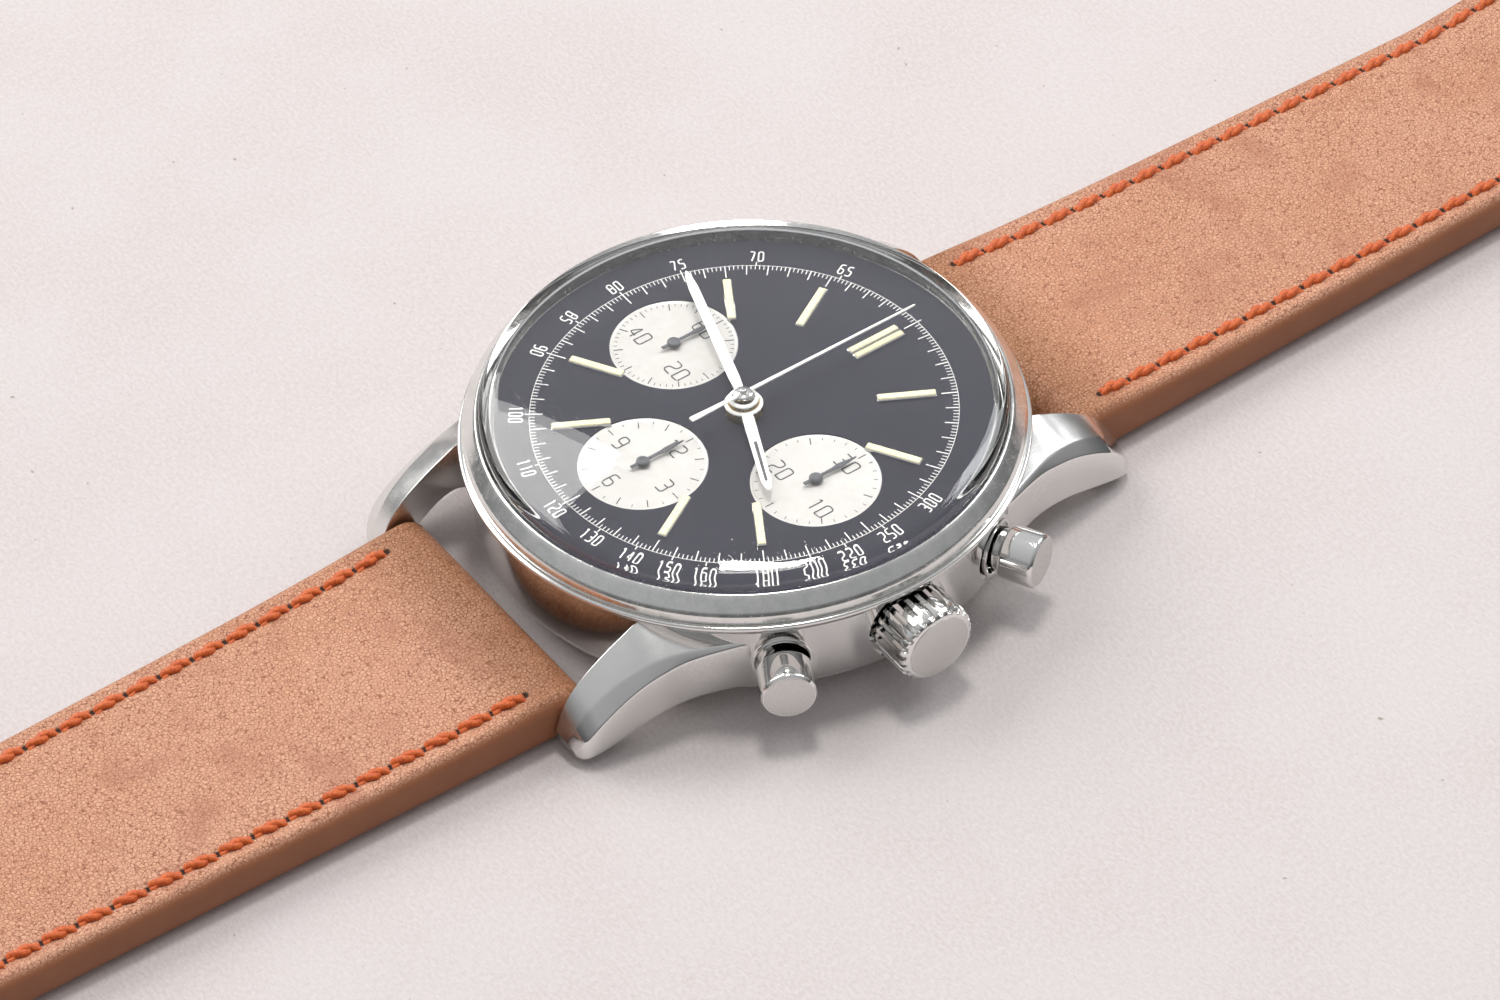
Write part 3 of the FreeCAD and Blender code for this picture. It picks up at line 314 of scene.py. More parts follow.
class Finish(Nodes):
    """A material's nodes round its one shader."""

    def __init__(self, name, **sockets):
        self.material = bpy.data.materials.new(name)
        self.material.use_nodes = True
        super().__init__(self.material.node_tree)
        self.shader = self.tree.nodes["Principled BSDF"]
        self.set(**sockets)

    def set(self, **sockets):
        for key, value in sockets.items():
            self.feed(self.shader.inputs[key.replace("_", " ")], value)

    def where(self, stretch=(1, 1, 1), turn=(0, 0, 0)):
        """Object coordinates in millimetres, stretched and turned."""
        source = self.node("TexCoord").outputs["Object"]
        scale = tuple(share / MM for share in stretch)
        return self.node("Mapping", {"Vector": source, "Scale": scale,
                                     "Rotation": turn}).outputs["Vector"]

    def stored(self, name, number=False):
        """What the points carry under a name: a number or a vector."""
        node = self.node("Attribute", attribute_name=name)
        return node.outputs["Fac" if number else "Vector"]

    def noise(self, vector, scale, detail=3.0, roughness=0.55, distortion=0.0):
        return self.node("TexNoise", {"Vector": vector, "Scale": scale, "Detail": detail,
                                      "Roughness": roughness,
                                      "Distortion": distortion}).outputs["Fac"]

    def blend(self, share, a, b):
        node = self.node("Mix", data_type="RGBA")
        for key, value in ((0, share), (6, a), (7, b)):
            self.feed(node.inputs[key], value)
        return node.outputs[2]

    def bump(self, height, depth, strength=1.0, after=None):
        """Height from 0 to 1 stands for a depth in millimetres."""
        inputs = {"Height": height, "Distance": depth * MM, "Strength": strength}
        if after is not None:
            inputs["Normal"] = after
        return self.node("Bump", inputs).outputs["Normal"]


def satin_steel():
    """Worn satin steel: long fine brushing, hairline scratches and duller patches, with the
    bevels of the lugs polished."""
    f = Finish("satin_steel", Metallic=1.0)
    brushing = f.noise(f.where((0.5, 6.0, 6.0), (0.25, 0.1, 0.3)), 3.0, 4)
    patches = f.noise(f.where(), 0.35, 3)
    hairlines = f.ramp(f.noise(f.where((7.0, 0.35, 1.2), (0.3, 0.0, 0.9)), 2.2, 2), 0.63, 0.72)
    bevel = f.stored("bevel", True)
    dull = f.ramp(f.calc("ADD", patches, f.calc("MULTIPLY", brushing, 0.35)),
                  0.35, 1.0, 0.16, 0.30)
    f.set(Base_Color=f.blend(patches, (0.74, 0.735, 0.715), (0.83, 0.825, 0.81)),
          Roughness=f.calc("MULTIPLY", dull, f.ramp(bevel, 0.0, 1.0, 1.0, 0.25)),
          Normal=f.bump(hairlines, 0.0015, 0.3, f.bump(brushing, 0.0012, 0.4)))
    return f.material


def polished_steel(name="polished_steel", tone=0.84, dull=0.05):
    """Mirror steel with faint rubbing marks."""
    f = Finish(name, Metallic=1.0)
    rubbing = f.noise(f.where((3.0, 3.0, 3.0)), 2.0, 4)
    marks = f.ramp(f.noise(f.where((0.6, 8.0, 3.0), (0.2, 0.5, 0.7)), 1.6, 2), 0.62, 0.70)
    f.set(Base_Color=f.blend(rubbing, (tone * 0.95, tone * 0.945, tone * 0.93),
                             (tone, tone * 0.99, tone * 0.97)),
          Roughness=f.ramp(f.calc("ADD", rubbing, f.calc("MULTIPLY", marks, 0.4)),
                           0.3, 1.1, dull, dull + 0.13),
          Normal=f.bump(marks, 0.001, 0.25))
    return f.material


def turned_steel():
    """Bezel steel: fine lathe lines round the watch's axis, worn bright in patches, and a few
    hairline scratches."""
    f = Finish("turned_steel", Metallic=1.0)
    length = f.vector("LENGTH", f.vector("MULTIPLY", f.where(), (1, 1, 0)), result="Value")
    rings = f.noise(f.node("CombineXYZ", {"X": length}).outputs[0], 9.0, 3)
    wear = f.noise(f.where(), 0.9, 5, 0.65)
    nicks = f.ramp(f.noise(f.where((5.0, 0.7, 2.0), (0.4, 0.2, 0.9)), 2.4, 2), 0.62, 0.70)
    f.set(Base_Color=f.blend(f.ramp(wear, 0.35, 0.65), (0.76, 0.77, 0.745), (0.86, 0.86, 0.84)),
          Roughness=f.calc("ADD", f.ramp(wear, 0.3, 0.7, 0.13, 0.22),
                          f.calc("MULTIPLY", nicks, 0.12)),
          Normal=f.bump(nicks, 0.003, 0.25, f.bump(rings, 0.003, 0.35)))
    return f.material


def frosted(name, scale, dark, light, roughness, depth, strength):
    """Metal with fine even frosting between two colours and two roughnesses."""
    f = Finish(name, Metallic=1.0)
    grain = f.noise(f.where(), scale)
    f.set(Base_Color=f.blend(grain, dark, light), Roughness=f.ramp(grain, 0.3, 0.7, *roughness),
          Normal=f.bump(grain, depth, strength))
    return f.material


def rubber_black():
    f = Finish("rubber_black", Base_Color=(0.03, 0.03, 0.03))
    f.set(Roughness=f.ramp(f.noise(f.where(), 6.0), 0.3, 0.7, 0.5, 0.7))
    return f.material


def dial_lacquer():
    """Charcoal lacquer with faint clouding and dust-fine grain."""
    f = Finish("dial_lacquer", Specular_IOR_Level=0.22)
    fleck = f.noise(f.where(), 18.0, 2)
    cloud = f.noise(f.where(), 0.22, 2)
    f.set(Base_Color=f.blend(cloud, (0.010, 0.010, 0.019), (0.016, 0.015, 0.028)),
          Roughness=f.ramp(fleck, 0.3, 0.7, 0.36, 0.44), Normal=f.bump(fleck, 0.0003, 0.1))
    return f.material


RING_PITCH = 62.0


def register_silver(at):
    """Silvered register: fine rings round the watch's axis, a little out of step from one
    register to the next, with faint ageing."""
    f = Finish("register_silver", Metallic=0.45)
    source = f.node("TexCoord").outputs["Object"]
    centred = f.node("Mapping", {"Vector": source, "Location": (-at[0], -at[1], 0),
                                 "Scale": (1 / MM,) * 3}).outputs["Vector"]
    rings = f.calc("SINE", f.calc("MULTIPLY", f.vector("LENGTH", centred, result="Value"),
                                  RING_PITCH))
    age = f.noise(f.where(), 0.8, 4)
    f.set(Base_Color=f.blend(f.ramp(age, 0.3, 0.8), (0.57, 0.555, 0.54), (0.51, 0.495, 0.47)),
          Roughness=f.ramp(age, 0.3, 0.7, 0.30, 0.40),
          Normal=f.bump(rings, 0.0012, 0.3))
    return f.material


def painted(name, colour, roughness, speck=0.04):
    """Thin paint or print, a little uneven."""
    f = Finish(name)
    uneven = f.noise(f.where(), 5.0, 3)
    darker = tuple(c * (1 - 3 * speck) for c in colour)
    f.set(Base_Color=f.blend(f.ramp(uneven, 0.35, 0.65), darker, colour),
          Roughness=f.ramp(uneven, 0.3, 0.7, roughness, roughness + 0.12))
    return f.material


def aged_lume():
    """Cream luminous filling with a grainy surface."""
    f = Finish("aged_lume")
    grain = f.noise(f.where(), 7.0, 4, 0.7)
    f.set(Base_Color=f.blend(f.ramp(grain, 0.35, 0.7), (0.78, 0.73, 0.50), (0.62, 0.56, 0.33)),
          Roughness=0.6, Normal=f.bump(grain, 0.03, 0.5))
    return f.material


def clear_crystal():
    f = Finish("clear_crystal", Transmission_Weight=1.0, IOR=1.49, Roughness=0.0,
               Base_Color=(0.985, 0.985, 0.98))
    haze = f.ramp(f.noise(f.where((1.0, 9.0, 4.0), (0.3, 0.2, 0.8)), 1.2, 2), 0.66, 0.74)
    f.set(Normal=f.bump(haze, 0.002, 0.25))
    return f.material


def tan_leather(name="tan_leather", seam=True):
    """Crackled tan leather. The furrows between fine cells are darker; the colour drifts
    between two tans with browner stains; the roll by the case and the rubbed edges are
    browner still, and the cut sides carry smooth edge paint. Awl holes are dents one
    stitch apart on the seam, darkened with painted shade."""
    f = Finish(name, Sheen_Weight=0.03, Sheen_Roughness=0.5, Specular_IOR_Level=0.35)
    place = f.stored("place")
    drift = f.node("TexNoise", {"Vector": place, "Scale": 2.6, "Detail": 2.0}).outputs["Color"]
    wander = f.vector("ADD", place, f.vector("MULTIPLY", drift, (0.22, 0.22, 0.22)))
    edges = f.node("TexVoronoi", {"Vector": wander, "Scale": 3.8}, feature="DISTANCE_TO_EDGE")
    furrows = f.ramp(edges.outputs["Distance"], 0.0, 0.16, 1.0, 0.0)
    fine = f.noise(place, 11.0, 3, 0.6)
    medium = f.noise(place, 4.2, 3, 0.6)
    cloud = f.noise(place, 0.085, 3, 0.55, 0.6)
    pebble = f.calc("ADD", f.calc("MULTIPLY", furrows, f.ramp(medium, 0.3, 0.7, 0.12, 0.55)),
                   f.calc("MULTIPLY", fine, 0.6))
    top = f.blend(f.ramp(cloud, 0.35, 0.65), (0.550, 0.245, 0.130), (0.610, 0.305, 0.190))
    top = f.blend(f.ramp(pebble, 0.28, 0.74), f.blend(f.ramp(medium, 0.3, 0.7), top,
                  (0.740, 0.412, 0.268)), (0.300, 0.102, 0.052))
    stain = f.ramp(f.noise(place, 0.16, 4, 0.6, 1.0), 0.48, 0.72, 0.0, 0.5)
    top = f.blend(stain, top, (0.400, 0.150, 0.088))
    worn = f.stored("burnish", True)
    top = f.blend(f.calc("MULTIPLY", worn, f.ramp(pebble, 0.15, 0.75, 0.35, 1.0)), top,
                  (0.230, 0.082, 0.022))
    edge = f.stored("edge", True)
    paint = f.blend(f.noise(place, 0.4, 2), (0.270, 0.095, 0.042), (0.350, 0.135, 0.062))
    colour = f.blend(edge, top, paint)
    relief = f.calc("MULTIPLY", pebble, f.ramp(edge, 0.0, 1.0, 1.0, 0.12))
    normal = f.bump(f.calc("SUBTRACT", 1.0, relief), 0.07, 0.6)
    if seam:
        split = f.node("SeparateXYZ", {"Vector": f.stored("seam")})
        along, across = split.outputs["X"], split.outputs["Y"]
        step = f.calc("MULTIPLY", f.calc("SUBTRACT", f.calc("FRACT", along), 0.5),
                      STITCH_PITCH)
        reach = f.calc("SQRT", f.calc("ADD", f.calc("POWER", step, 2.0),
                                      f.calc("POWER", across, 2.0)))
        # Awl holes: a small dent each, coloured near-black as painted shade inside the hole
        shaded_hole = f.calc("MULTIPLY", f.ramp(reach, 0.14, 0.34, 1.0, 0.0), split.outputs["Z"])
        colour = f.blend(shaded_hole, colour, (0.030, 0.011, 0.005))
        normal = f.bump(f.calc("SUBTRACT", 1.0, shaded_hole), 0.15, 0.5, normal)
    dry = f.calc("ADD", pebble, f.calc("MULTIPLY", edge, -0.35))
    dry = f.calc("ADD", dry, shaded_hole) if seam else dry
    f.set(Base_Color=colour, Normal=normal, Roughness=f.ramp(dry, 0.2, 1.9, 0.48, 0.95))
    return f.material


def thread_rust():
    """Waxed rust-orange thread, its fibres running along each ply."""
    f = Finish("thread_rust", Sheen_Weight=0.2, Roughness=0.5)
    fibre = f.noise(f.where(), 6.0, 3, 0.7)
    f.set(Base_Color=f.blend(f.ramp(fibre, 0.3, 0.7), (0.50, 0.066, 0.006),
                             (0.78, 0.160, 0.016)), Normal=f.bump(fibre, 0.05, 0.6))
    return f.material


# ---- Case -------------------------------------------------------------------------------
STEEL = satin_steel()
POLISHED = polished_steel()
TURNED = turned_steel()
FLANK_STEEL = polished_steel("polished_flank", 0.82, 0.09)
FACE_TONE = (0.66, 0.65, 0.63)
FROSTED = frosted("frosted_face", 14.0, FACE_TONE, FACE_TONE, (0.26, 0.38), 0.002, 0.3)


def flank():
    """Case body: a straight wall under an overhanging ledge, turned once round."""
    outline = np.array([(CASE_BORE_R, FLANK_LOW_Z), (17.45, FLANK_LOW_Z), (17.6, 2.1),
                        (17.65, 6.6), (18.1, 7.1), (18.3, 7.28), (18.3, 7.52),
                        (18.2, BEZEL_Z), (CASE_BORE_R, BEZEL_Z)])
    return turned_ring(eased(outline, 0.12, 4), 360)


LUG_ROWS = 90
LUG_COLUMNS = 25
LUG_BEVEL = (8, 11)
LUG_INNER_X = 10.0


def lug(side_x, side_y):
    """One horn: five-cornered sections eased at their corners and skinned along a smooth
    curve from inside the flank to the rounded tip."""
    inner = LUG_INNER_X
    stations = np.array([
        ((inner, 8.8, 6.6), (14.95, 8.8, 5.75), (15.05, 8.8, 5.6), (15.05, 8.8, 1.95),
         (inner, 8.8, 1.95)),
        ((inner, 11.0, 6.8), (13.9, 11.0, 5.75), (14.15, 11.0, 5.5), (14.15, 11.0, 1.95),
         (inner, 11.0, 1.95)),
        ((inner, 13.7, 7.1), (12.95, 13.7, 5.85), (13.35, 13.7, 5.35), (13.35, 13.7, 1.95),
         (inner, 13.7, 2.4)),
        ((inner, 15.2, 7.15), (12.5, 15.4, 5.8), (13.1, 15.6, 5.1), (13.1, 15.9, 1.75),
         (inner, 15.6, 3.3)),
        ((inner, 16.5, 6.6), (12.2, 16.7, 5.5), (12.95, 17.0, 4.7), (12.95, 17.4, 1.35),
         (inner, 17.1, 3.0)),
        ((inner, 18.0, 5.8), (11.95, 18.2, 4.95), (12.85, 18.5, 4.0), (12.85, 18.9, 0.95),
         (inner, 18.5, 2.1)),
        ((inner, 19.5, 4.8), (11.7, 19.7, 4.05), (12.75, 19.9, 3.1), (12.75, 20.2, 0.65),
         (inner, 19.9, 1.1)),
        ((inner, 20.5, 3.85), (11.55, 20.6, 3.15), (12.6, 20.7, 2.3), (12.6, 20.9, 0.52),
         (inner, 20.8, 0.7)),
        ((inner, 21.2, 2.75), (11.4, 21.25, 2.2), (12.35, 21.2, 1.6), (12.35, 21.25, 0.48),
         (inner, 21.3, 0.6)),
        ((inner, 21.65, 1.5), (11.3, 21.61, 1.3), (11.95, 21.56, 1.05), (11.95, 21.45, 0.5),
         (inner, 21.45, 0.5))])
    sections = eased(smooth_stations(stations, LUG_ROWS), (0.10, 0.14, 0.16, 0.25, 0.15), 4)
    return shell(sections * np.array([side_x, side_y, 1]))


def bevel_share():
    """One on the points between the second and third corners of each horn's sections."""
    column = np.arange(LUG_COLUMNS)
    row = ((column >= LUG_BEVEL[0]) & (column <= LUG_BEVEL[1])).astype(float)
    horn = np.concatenate([np.tile(row, LUG_ROWS), [0.0, 0.0]])
    return np.tile(horn, 4)


def pusher_tube(angle):
    outline = np.array([(1.0, 15.0), (1.95, 15.0), (1.95, 17.75), (1.7, 17.75), (1.7, 15.15),
                        (1.0, 15.15)])
    return laid_along(turned_ring(eased(outline, 0.07, 3), 72), angle, PUSHER_Z)


def drill(radius, near, far, angle, height):
    return laid_along(turned_solid(np.array([(radius, near), (radius, far)]), 64),
                      angle, height)


def build_case():
    holes = [drill(radius, near, far, angle, PUSHER_Z)
             for radius, near, far in ((PUSHER_BORE_R, 14.5, 19.0),
                                       (PUSHER_RECESS_R, 17.2, 19.5))
             for angle in (PUSHER_ANGLE, -PUSHER_ANGLE)]
    holes += [drill(CROWN_RECESS_R, 17.1, 20.0, 0.0, CROWN_Z)]
    body = drilled(make_mesh("case_flank", [flank()]), holes)
    dressed(body, FLANK_STEEL, "case", "case_steel", ["case_middle"], 30)
    horns = fitted("case_lugs", [lug(x, y) for x in (1, -1) for y in (1, -1)], STEEL,
                   "case", "case_steel", ["case_middle"], 24)
    store(horns, "bevel", bevel_share())
    outline = np.array([(16.92, BEZEL_Z), (17.9, BEZEL_Z), (18.0, 7.7), (18.0, 8.22),
                        (17.86, 8.5), (17.24, 9.2), (17.08, 9.35), (16.96, 9.35),
                        (16.92, 9.25)])
    fitted("polished_bezel", [turned_ring(eased(outline, 0.09, 4), 360)], TURNED, "case",
           "polished_steel", ["bezel"], 40)
    fitted("pusher_collars", [pusher_tube(side * PUSHER_ANGLE) for side in (1, -1)],
           POLISHED, "case", "case_steel", ["pusher_tubes"])


def crystal_profile():
    """Outer dome from the axis to the rim, down the wall, and the inner dome back: two
    arcs of circles with the rim's edges eased."""
    def arc(radius, rim_z, top_z, count):
        rise = top_z - rim_z
        ball = (radius ** 2 + rise ** 2) / (2 * rise)
        r = np.linspace(0.02, radius, count)
        return np.stack([r, top_z - ball + np.sqrt(ball ** 2 - r ** 2)], 1)
    outside = arc(16.1, 10.46, CRYSTAL_TOP_Z, 40)
    rim = eased(np.array([outside[-1], (16.80, 10.16), (16.88, 9.3), (16.88, 7.62),
                          (16.02, 7.62), (16.02, 9.3), (15.8, 9.45)]),
                (0, 0.5, 0.3, 0.1, 0.1, 0.1, 0), 8, closed=False)
    inside = arc(15.8, 9.45, 11.2, 40)[::-1]
    return np.vstack([outside[:-1], rim, inside[1:]])


def build_crystal():
    dome = fitted("crystal_dome", [turned_solid(crystal_profile(), 200)], clear_crystal(),
                  "case", "crystal", ["crystal"], 50)
    dome.visible_shadow = False


# ---- Crown and buttons ------------------------------------------------------------------
FLUTES = 24
FLUTE_DEPTH = 0.36


def crown_shell():
    """Knob on X: the radius follows the outline, less a rounded flute between the ribs. The
    flutes run out before the face, which stays flat."""
    outline = eased(np.array([(0.6, 17.38), (2.45, 17.38), (2.7, 17.6), (2.74, 20.2),
                              (2.62, 20.5), (2.3, 20.68), (0.02, 20.7)]), 0.12, 4, False)
    rows = subdivided(outline, 6)
    angle = np.linspace(0, TAU, FLUTES * 14, endpoint=False)[None]
    radius, along = rows[:, 0][:, None], rows[:, 1][:, None]
    wave = 0.5 - 0.5 * np.cos(FLUTES * angle)
    flute = np.clip((wave - 0.42) / 0.36, 0, 1)
    fade = np.clip((20.62 - along) / 0.3, 0, 1) * np.clip((radius - 2.0) / 0.4, 0, 1)
    r = radius - FLUTE_DEPTH * flute * fade
    return shell(np.stack([r * np.cos(angle), r * np.sin(angle), along + 0 * angle], -1))


CROWN_FACE = ((2.2, 20.64), (2.2, 20.72), (0.02, 20.73))
BUTTON = ((0.5, 14.95), (0.5, 16.6), (1.4, 16.6), (1.4, 18.36), (1.62, 18.36), (1.8, 18.5),
          (1.8, 20.62), (1.66, 20.78))
BUTTON_FACE = ((1.64, 20.74), (1.6, 20.8), (0.02, 20.8))


def laid_turning(outline, reach, steps, angle, height):
    """Turned solid with eased edges, laid over to point outwards at an angle in plan."""
    return laid_along(turned_solid(eased(outline, reach, steps, False), 96), angle, height)


def build_controls():
    """Crown, and each button: a cap on a neck on a thin stem."""
    fitted("fluted_crown", [laid_along(crown_shell(), 0.0, CROWN_Z)], POLISHED, "crown",
           "polished_steel", ["crown"], 40)
    fitted("crown_face", [laid_turning(CROWN_FACE, 0.03, 3, 0.0, CROWN_Z)], FROSTED, "crown",
           "polished_steel", sharp=40)
    for body, angle in (("start_pusher", PUSHER_ANGLE), ("reset_pusher", -PUSHER_ANGLE)):
        fitted(body + "_button", [laid_turning(BUTTON, 0.10, 4, angle, PUSHER_Z)], POLISHED,
               body, "polished_steel", [body], 40)
        fitted(body + "_face", [laid_turning(BUTTON_FACE, 0.03, 3, angle, PUSHER_Z)], FROSTED,
               body, "polished_steel", sharp=40)


# ---- Dial -------------------------------------------------------------------------------
PRINT_THICK = 0.012
TRACK_R = 13.55
SPEED_R = 14.40
REGISTERS = {"seconds": (-REGISTER_OFFSET, 0.0), "minutes": (REGISTER_OFFSET, 0.0),
             "hours": (0.0, -REGISTER_OFFSET)}


def unit_block():
    """Block from -1/2 to 1/2 on each side, as two square loops."""
    square = np.array([(-0.5, -0.5), (0.5, -0.5), (0.5, 0.5), (-0.5, 0.5)])
    return shell(np.stack([np.column_stack([square, np.full(4, z)]) for z in (-0.5, 0.5)]))


def ticks(clock, near, far, width, z, at=(0.0, 0.0)):
    """Printed lines pointing at the centre: a block for each clock angle, in degrees."""
    clock = np.radians(np.atleast_1d(clock))[:, None]
    near, far, width = (np.broadcast_to(np.atleast_1d(v), clock.shape[:1])[:, None]
                        for v in (near, far, width))

    def places(p):
        out = (near + far) / 2 + p[None, :, 1] * (far - near)
        side = p[None, :, 0] * width
        x = at[0] + out * np.sin(clock) + side * np.cos(clock)
        y = at[1] + out * np.cos(clock) - side * np.sin(clock)
        return np.stack([x, y, z + (p[None, :, 2] + 0.5) * PRINT_THICK + 0 * x], -1)
    return copies(unit_block(), places)


def print_circle(radius, width, z):
    near, far, top = radius - width / 2, radius + width / 2, z + PRINT_THICK
    return turned_ring(np.array([(near, z), (far, z), (far, top), (near, top)]), 240)


FIGURES = {
    "0": [[(0, 0), (1, 0), (1, 1), (0, 1), (0, 0)]],
    "1": [[(0.30, 0.84), (0.62, 1), (0.62, 0)]],
    "2": [[(0, 0.95), (0.05, 1), (1, 1), (1, 0.55), (0, 0.40), (0, 0), (1, 0)]],
    "3": [[(0, 1), (1, 1), (1, 0.52), (0.3, 0.52)], [(0.95, 0.52), (1, 0), (0, 0)]],
    "4": [[(0.75, 0), (0.75, 1), (0, 0.28), (1, 0.28)]],
    "5": [[(0.95, 1), (0, 1), (0, 0.56), (1, 0.56), (1, 0), (0, 0)]],
    "6": [[(0.9, 1), (0, 1), (0, 0), (1, 0), (1, 0.55), (0.02, 0.55)]],
    "7": [[(0, 1), (1, 1), (0.4, 0)]],
    "8": [[(0, 0), (1, 0), (1, 1), (0, 1), (0, 0)], [(0.05, 0.53), (0.95, 0.53)]],
    "9": [[(0.1, 0), (1, 0), (1, 1), (0, 1), (0, 0.45), (0.98, 0.45)]],
}
FIGURE_GAP = 0.27


def stroke(path, half_width, z):
    """Flat printed line along a plan path, as a block of the print's thickness."""
    along = np.gradient(path, axis=0)
    along /= np.linalg.norm(along, axis=1, keepdims=True) + 1e-9
    normal = np.stack([-along[:, 1], along[:, 0]], 1)
    section = np.array([(-1, 0), (1, 0), (1, 1), (-1, 1)])
    plan = path[:, None, :] + half_width * normal[:, None, :] * section[None, :, :1]
    height = z + section[None, :, 1] * PRINT_THICK + 0 * plan[..., 0]
    return shell(np.concatenate([plan, height[..., None]], -1))


def numerals(name, entries, z, weight, width=0.52):
    """Printed numbers in plain squared figures, each a few lines on a grid of one by one.
    Entries are (text, x, y, height, turn clockwise in degrees); width is a figure's share of
    its height."""
    shells = []
    for text, x, y, height, turn in entries:
        turn = math.radians(turn)
        right = np.array([math.cos(turn), -math.sin(turn)]) * height * width
        up = np.array([math.sin(turn), math.cos(turn)]) * height
        pitch = 1 + FIGURE_GAP / width
        for index, figure in enumerate(text):
            shift = (index - (len(text) - 1) / 2) * pitch
            for lines in FIGURES[figure]:
                path = np.array(lines) - 0.5 + np.array([shift, 0])
                path = np.array([x, y]) + path[:, :1] * right + path[:, 1:] * up
                path = eased(path, 0.2 * height, 3, closed=False)
                keep = np.concatenate([[True], np.linalg.norm(np.diff(path, axis=0),
                                                              axis=1) > 1e-4])
                shells.append(stroke(path[keep], weight / 2, z))
    return make_mesh(name, shells)


def number_at(text, at, radius, clock, height, turn=0.0):
    """Entry for a number at a clock angle round a centre."""
    angle = math.radians(clock)
    return (text, at[0] + radius * math.sin(angle), at[1] + radius * math.cos(angle), height,
            turn)


def scale_numbers():
    """Speed scale: the number at each place is 3600 divided by the seconds there."""
    values = list(range(60, 90, 5)) + list(range(90, 170, 10)) + [180, 200, 220, 250, 300]
    clocks = [360.0 * 60 / value for value in values]
    entries = [number_at(str(value), (0.0, 0.0), SPEED_R, clock, 0.86,
                         clock + (180 if 65 < clock < 265 else 0))
               for value, clock in zip(values[1:], clocks[1:])]
    return entries, np.array(clocks)


def print_piece(piece, material):
    dressed(piece, material, "case", "dial_black", sharp=20)


def register_disc(at):
    """Thin disc in its recess with a low raised edge."""
    outline = np.array([(REGISTER_R, REGISTER_Z - 0.02), (REGISTER_R, REGISTER_Z + 0.07),
                        (REGISTER_R - 0.10, REGISTER_Z + 0.08),
                        (REGISTER_R - 0.20, REGISTER_Z + 0.03), (0.30, REGISTER_Z + 0.03),
                        (0.27, REGISTER_Z + 0.02), (0.27, REGISTER_Z - 0.02)])
    return turned_ring(eased(outline, 0.03, 3), 96, at)


def build_dial():
    white = painted("print_white", (0.80, 0.80, 0.78), 0.45)
    black = painted("print_black", (0.035, 0.035, 0.04), 0.45)
    entries, speed_marks = scale_numbers()
    print_piece(numerals("speed_numbers", entries, DIAL_Z, 0.095, 0.36), white)
    fifths = np.arange(300) * 1.2
    step = np.arange(300) % 25
    length = np.where(step == 0, 1.05, np.where(step % 5 == 0, 0.85, 0.36))
    width = np.where(step % 5 == 0, 0.075, 0.055)
    lines = [ticks(fifths, TRACK_R - length, TRACK_R, width, DIAL_Z),
             ticks(speed_marks, 13.55, 13.85, 0.075, DIAL_Z),
             print_circle(TRACK_R, 0.035, DIAL_Z)]
    print_piece(make_mesh("seconds_track", lines), white)

    top = REGISTER_Z + 0.03
    small = {"seconds": (60, 5, (("60", 0), ("20", 120), ("40", 240))),
             "minutes": (30, 5, (("30", 0), ("10", 120), ("20", 240))),
             "hours": (24, 2, (("12", 0), ("3", 90), ("6", 180), ("9", 270)))}
    figures, lines = [], []
    for name, at in REGISTERS.items():
        fitted("register_disc_" + name, [register_disc(at)],
               register_silver((at[0] * MM, at[1] * MM)), "case", "dial_black", sharp=50)
        divisions, major, numbers = small[name]
        figures += [number_at(text, at, 2.42, clock, 1.12) for text, clock in numbers]
        count = np.arange(divisions)
        long_one = count % major == 0
        lines.append(ticks(count * 360.0 / divisions, np.where(long_one, 3.25, 3.62), 3.86,
                           np.where(long_one, 0.075, 0.045), top, at))
    print_piece(numerals("register_numbers", figures, top, 0.10), black)
    print_piece(make_mesh("register_ticks", lines), black)


def baton_block(width, z_low, z_high, inset):
    """One raised hour baton at twelve: an eased block with a softened top edge."""
    near, far = 8.4 + inset, 12.2 - inset
    half = width / 2 - inset
    outline = np.array([(-half, near), (half, near), (half, far), (-half, far)])
    middle = np.array([0, (near + far) / 2])
    loops = []
    for z, less in ((z_low, 0), (z_high - 0.05, 0), (z_high, 0.05)):
        square = eased((outline - middle) * (1 - less / np.abs(outline - middle)) + middle,
                       0.06, 2)
        loops.append(np.column_stack([square, np.full(len(square), z)]))
    return shell(np.array(loops))


def build_markers():
    lume = aged_lume()
    hours = np.radians(30.0 * np.array([1, 2, 4, 5, 7, 8, 10, 11]))[:, None]

    def round_dial(p):
        x, y, z = p[None, :, 0], p[None, :, 1], p[None, :, 2]
        return np.stack([x * np.cos(hours) + y * np.sin(hours),
                         y * np.cos(hours) - x * np.sin(hours), z + 0 * hours], -1)

    def at_twelve(p):
        return p[None] + np.array([(-0.31, 0, 0), (0.31, 0, 0)])[:, None, :]
    frames, fills = [], []
    for width, places in ((0.62, round_dial), (0.55, at_twelve)):
        frames.append(copies(baton_block(width, DIAL_Z, DIAL_Z + 0.16, 0.0), places))
        fills.append(copies(baton_block(width, DIAL_Z + 0.1, DIAL_Z + 0.24, 0.06), places))
    fitted("baton_frames", frames, POLISHED, "case", "marker_cream", ["hour_markers"], 30)
    fitted("baton_filling", fills, lume, "case", "marker_cream", sharp=30)


# ---- Hands ------------------------------------------------------------------------------
def squared(wave, power):
    """A sine or cosine pressed towards its two ends, which squares a circle softly."""
    return np.sign(wave) * np.abs(wave) ** power


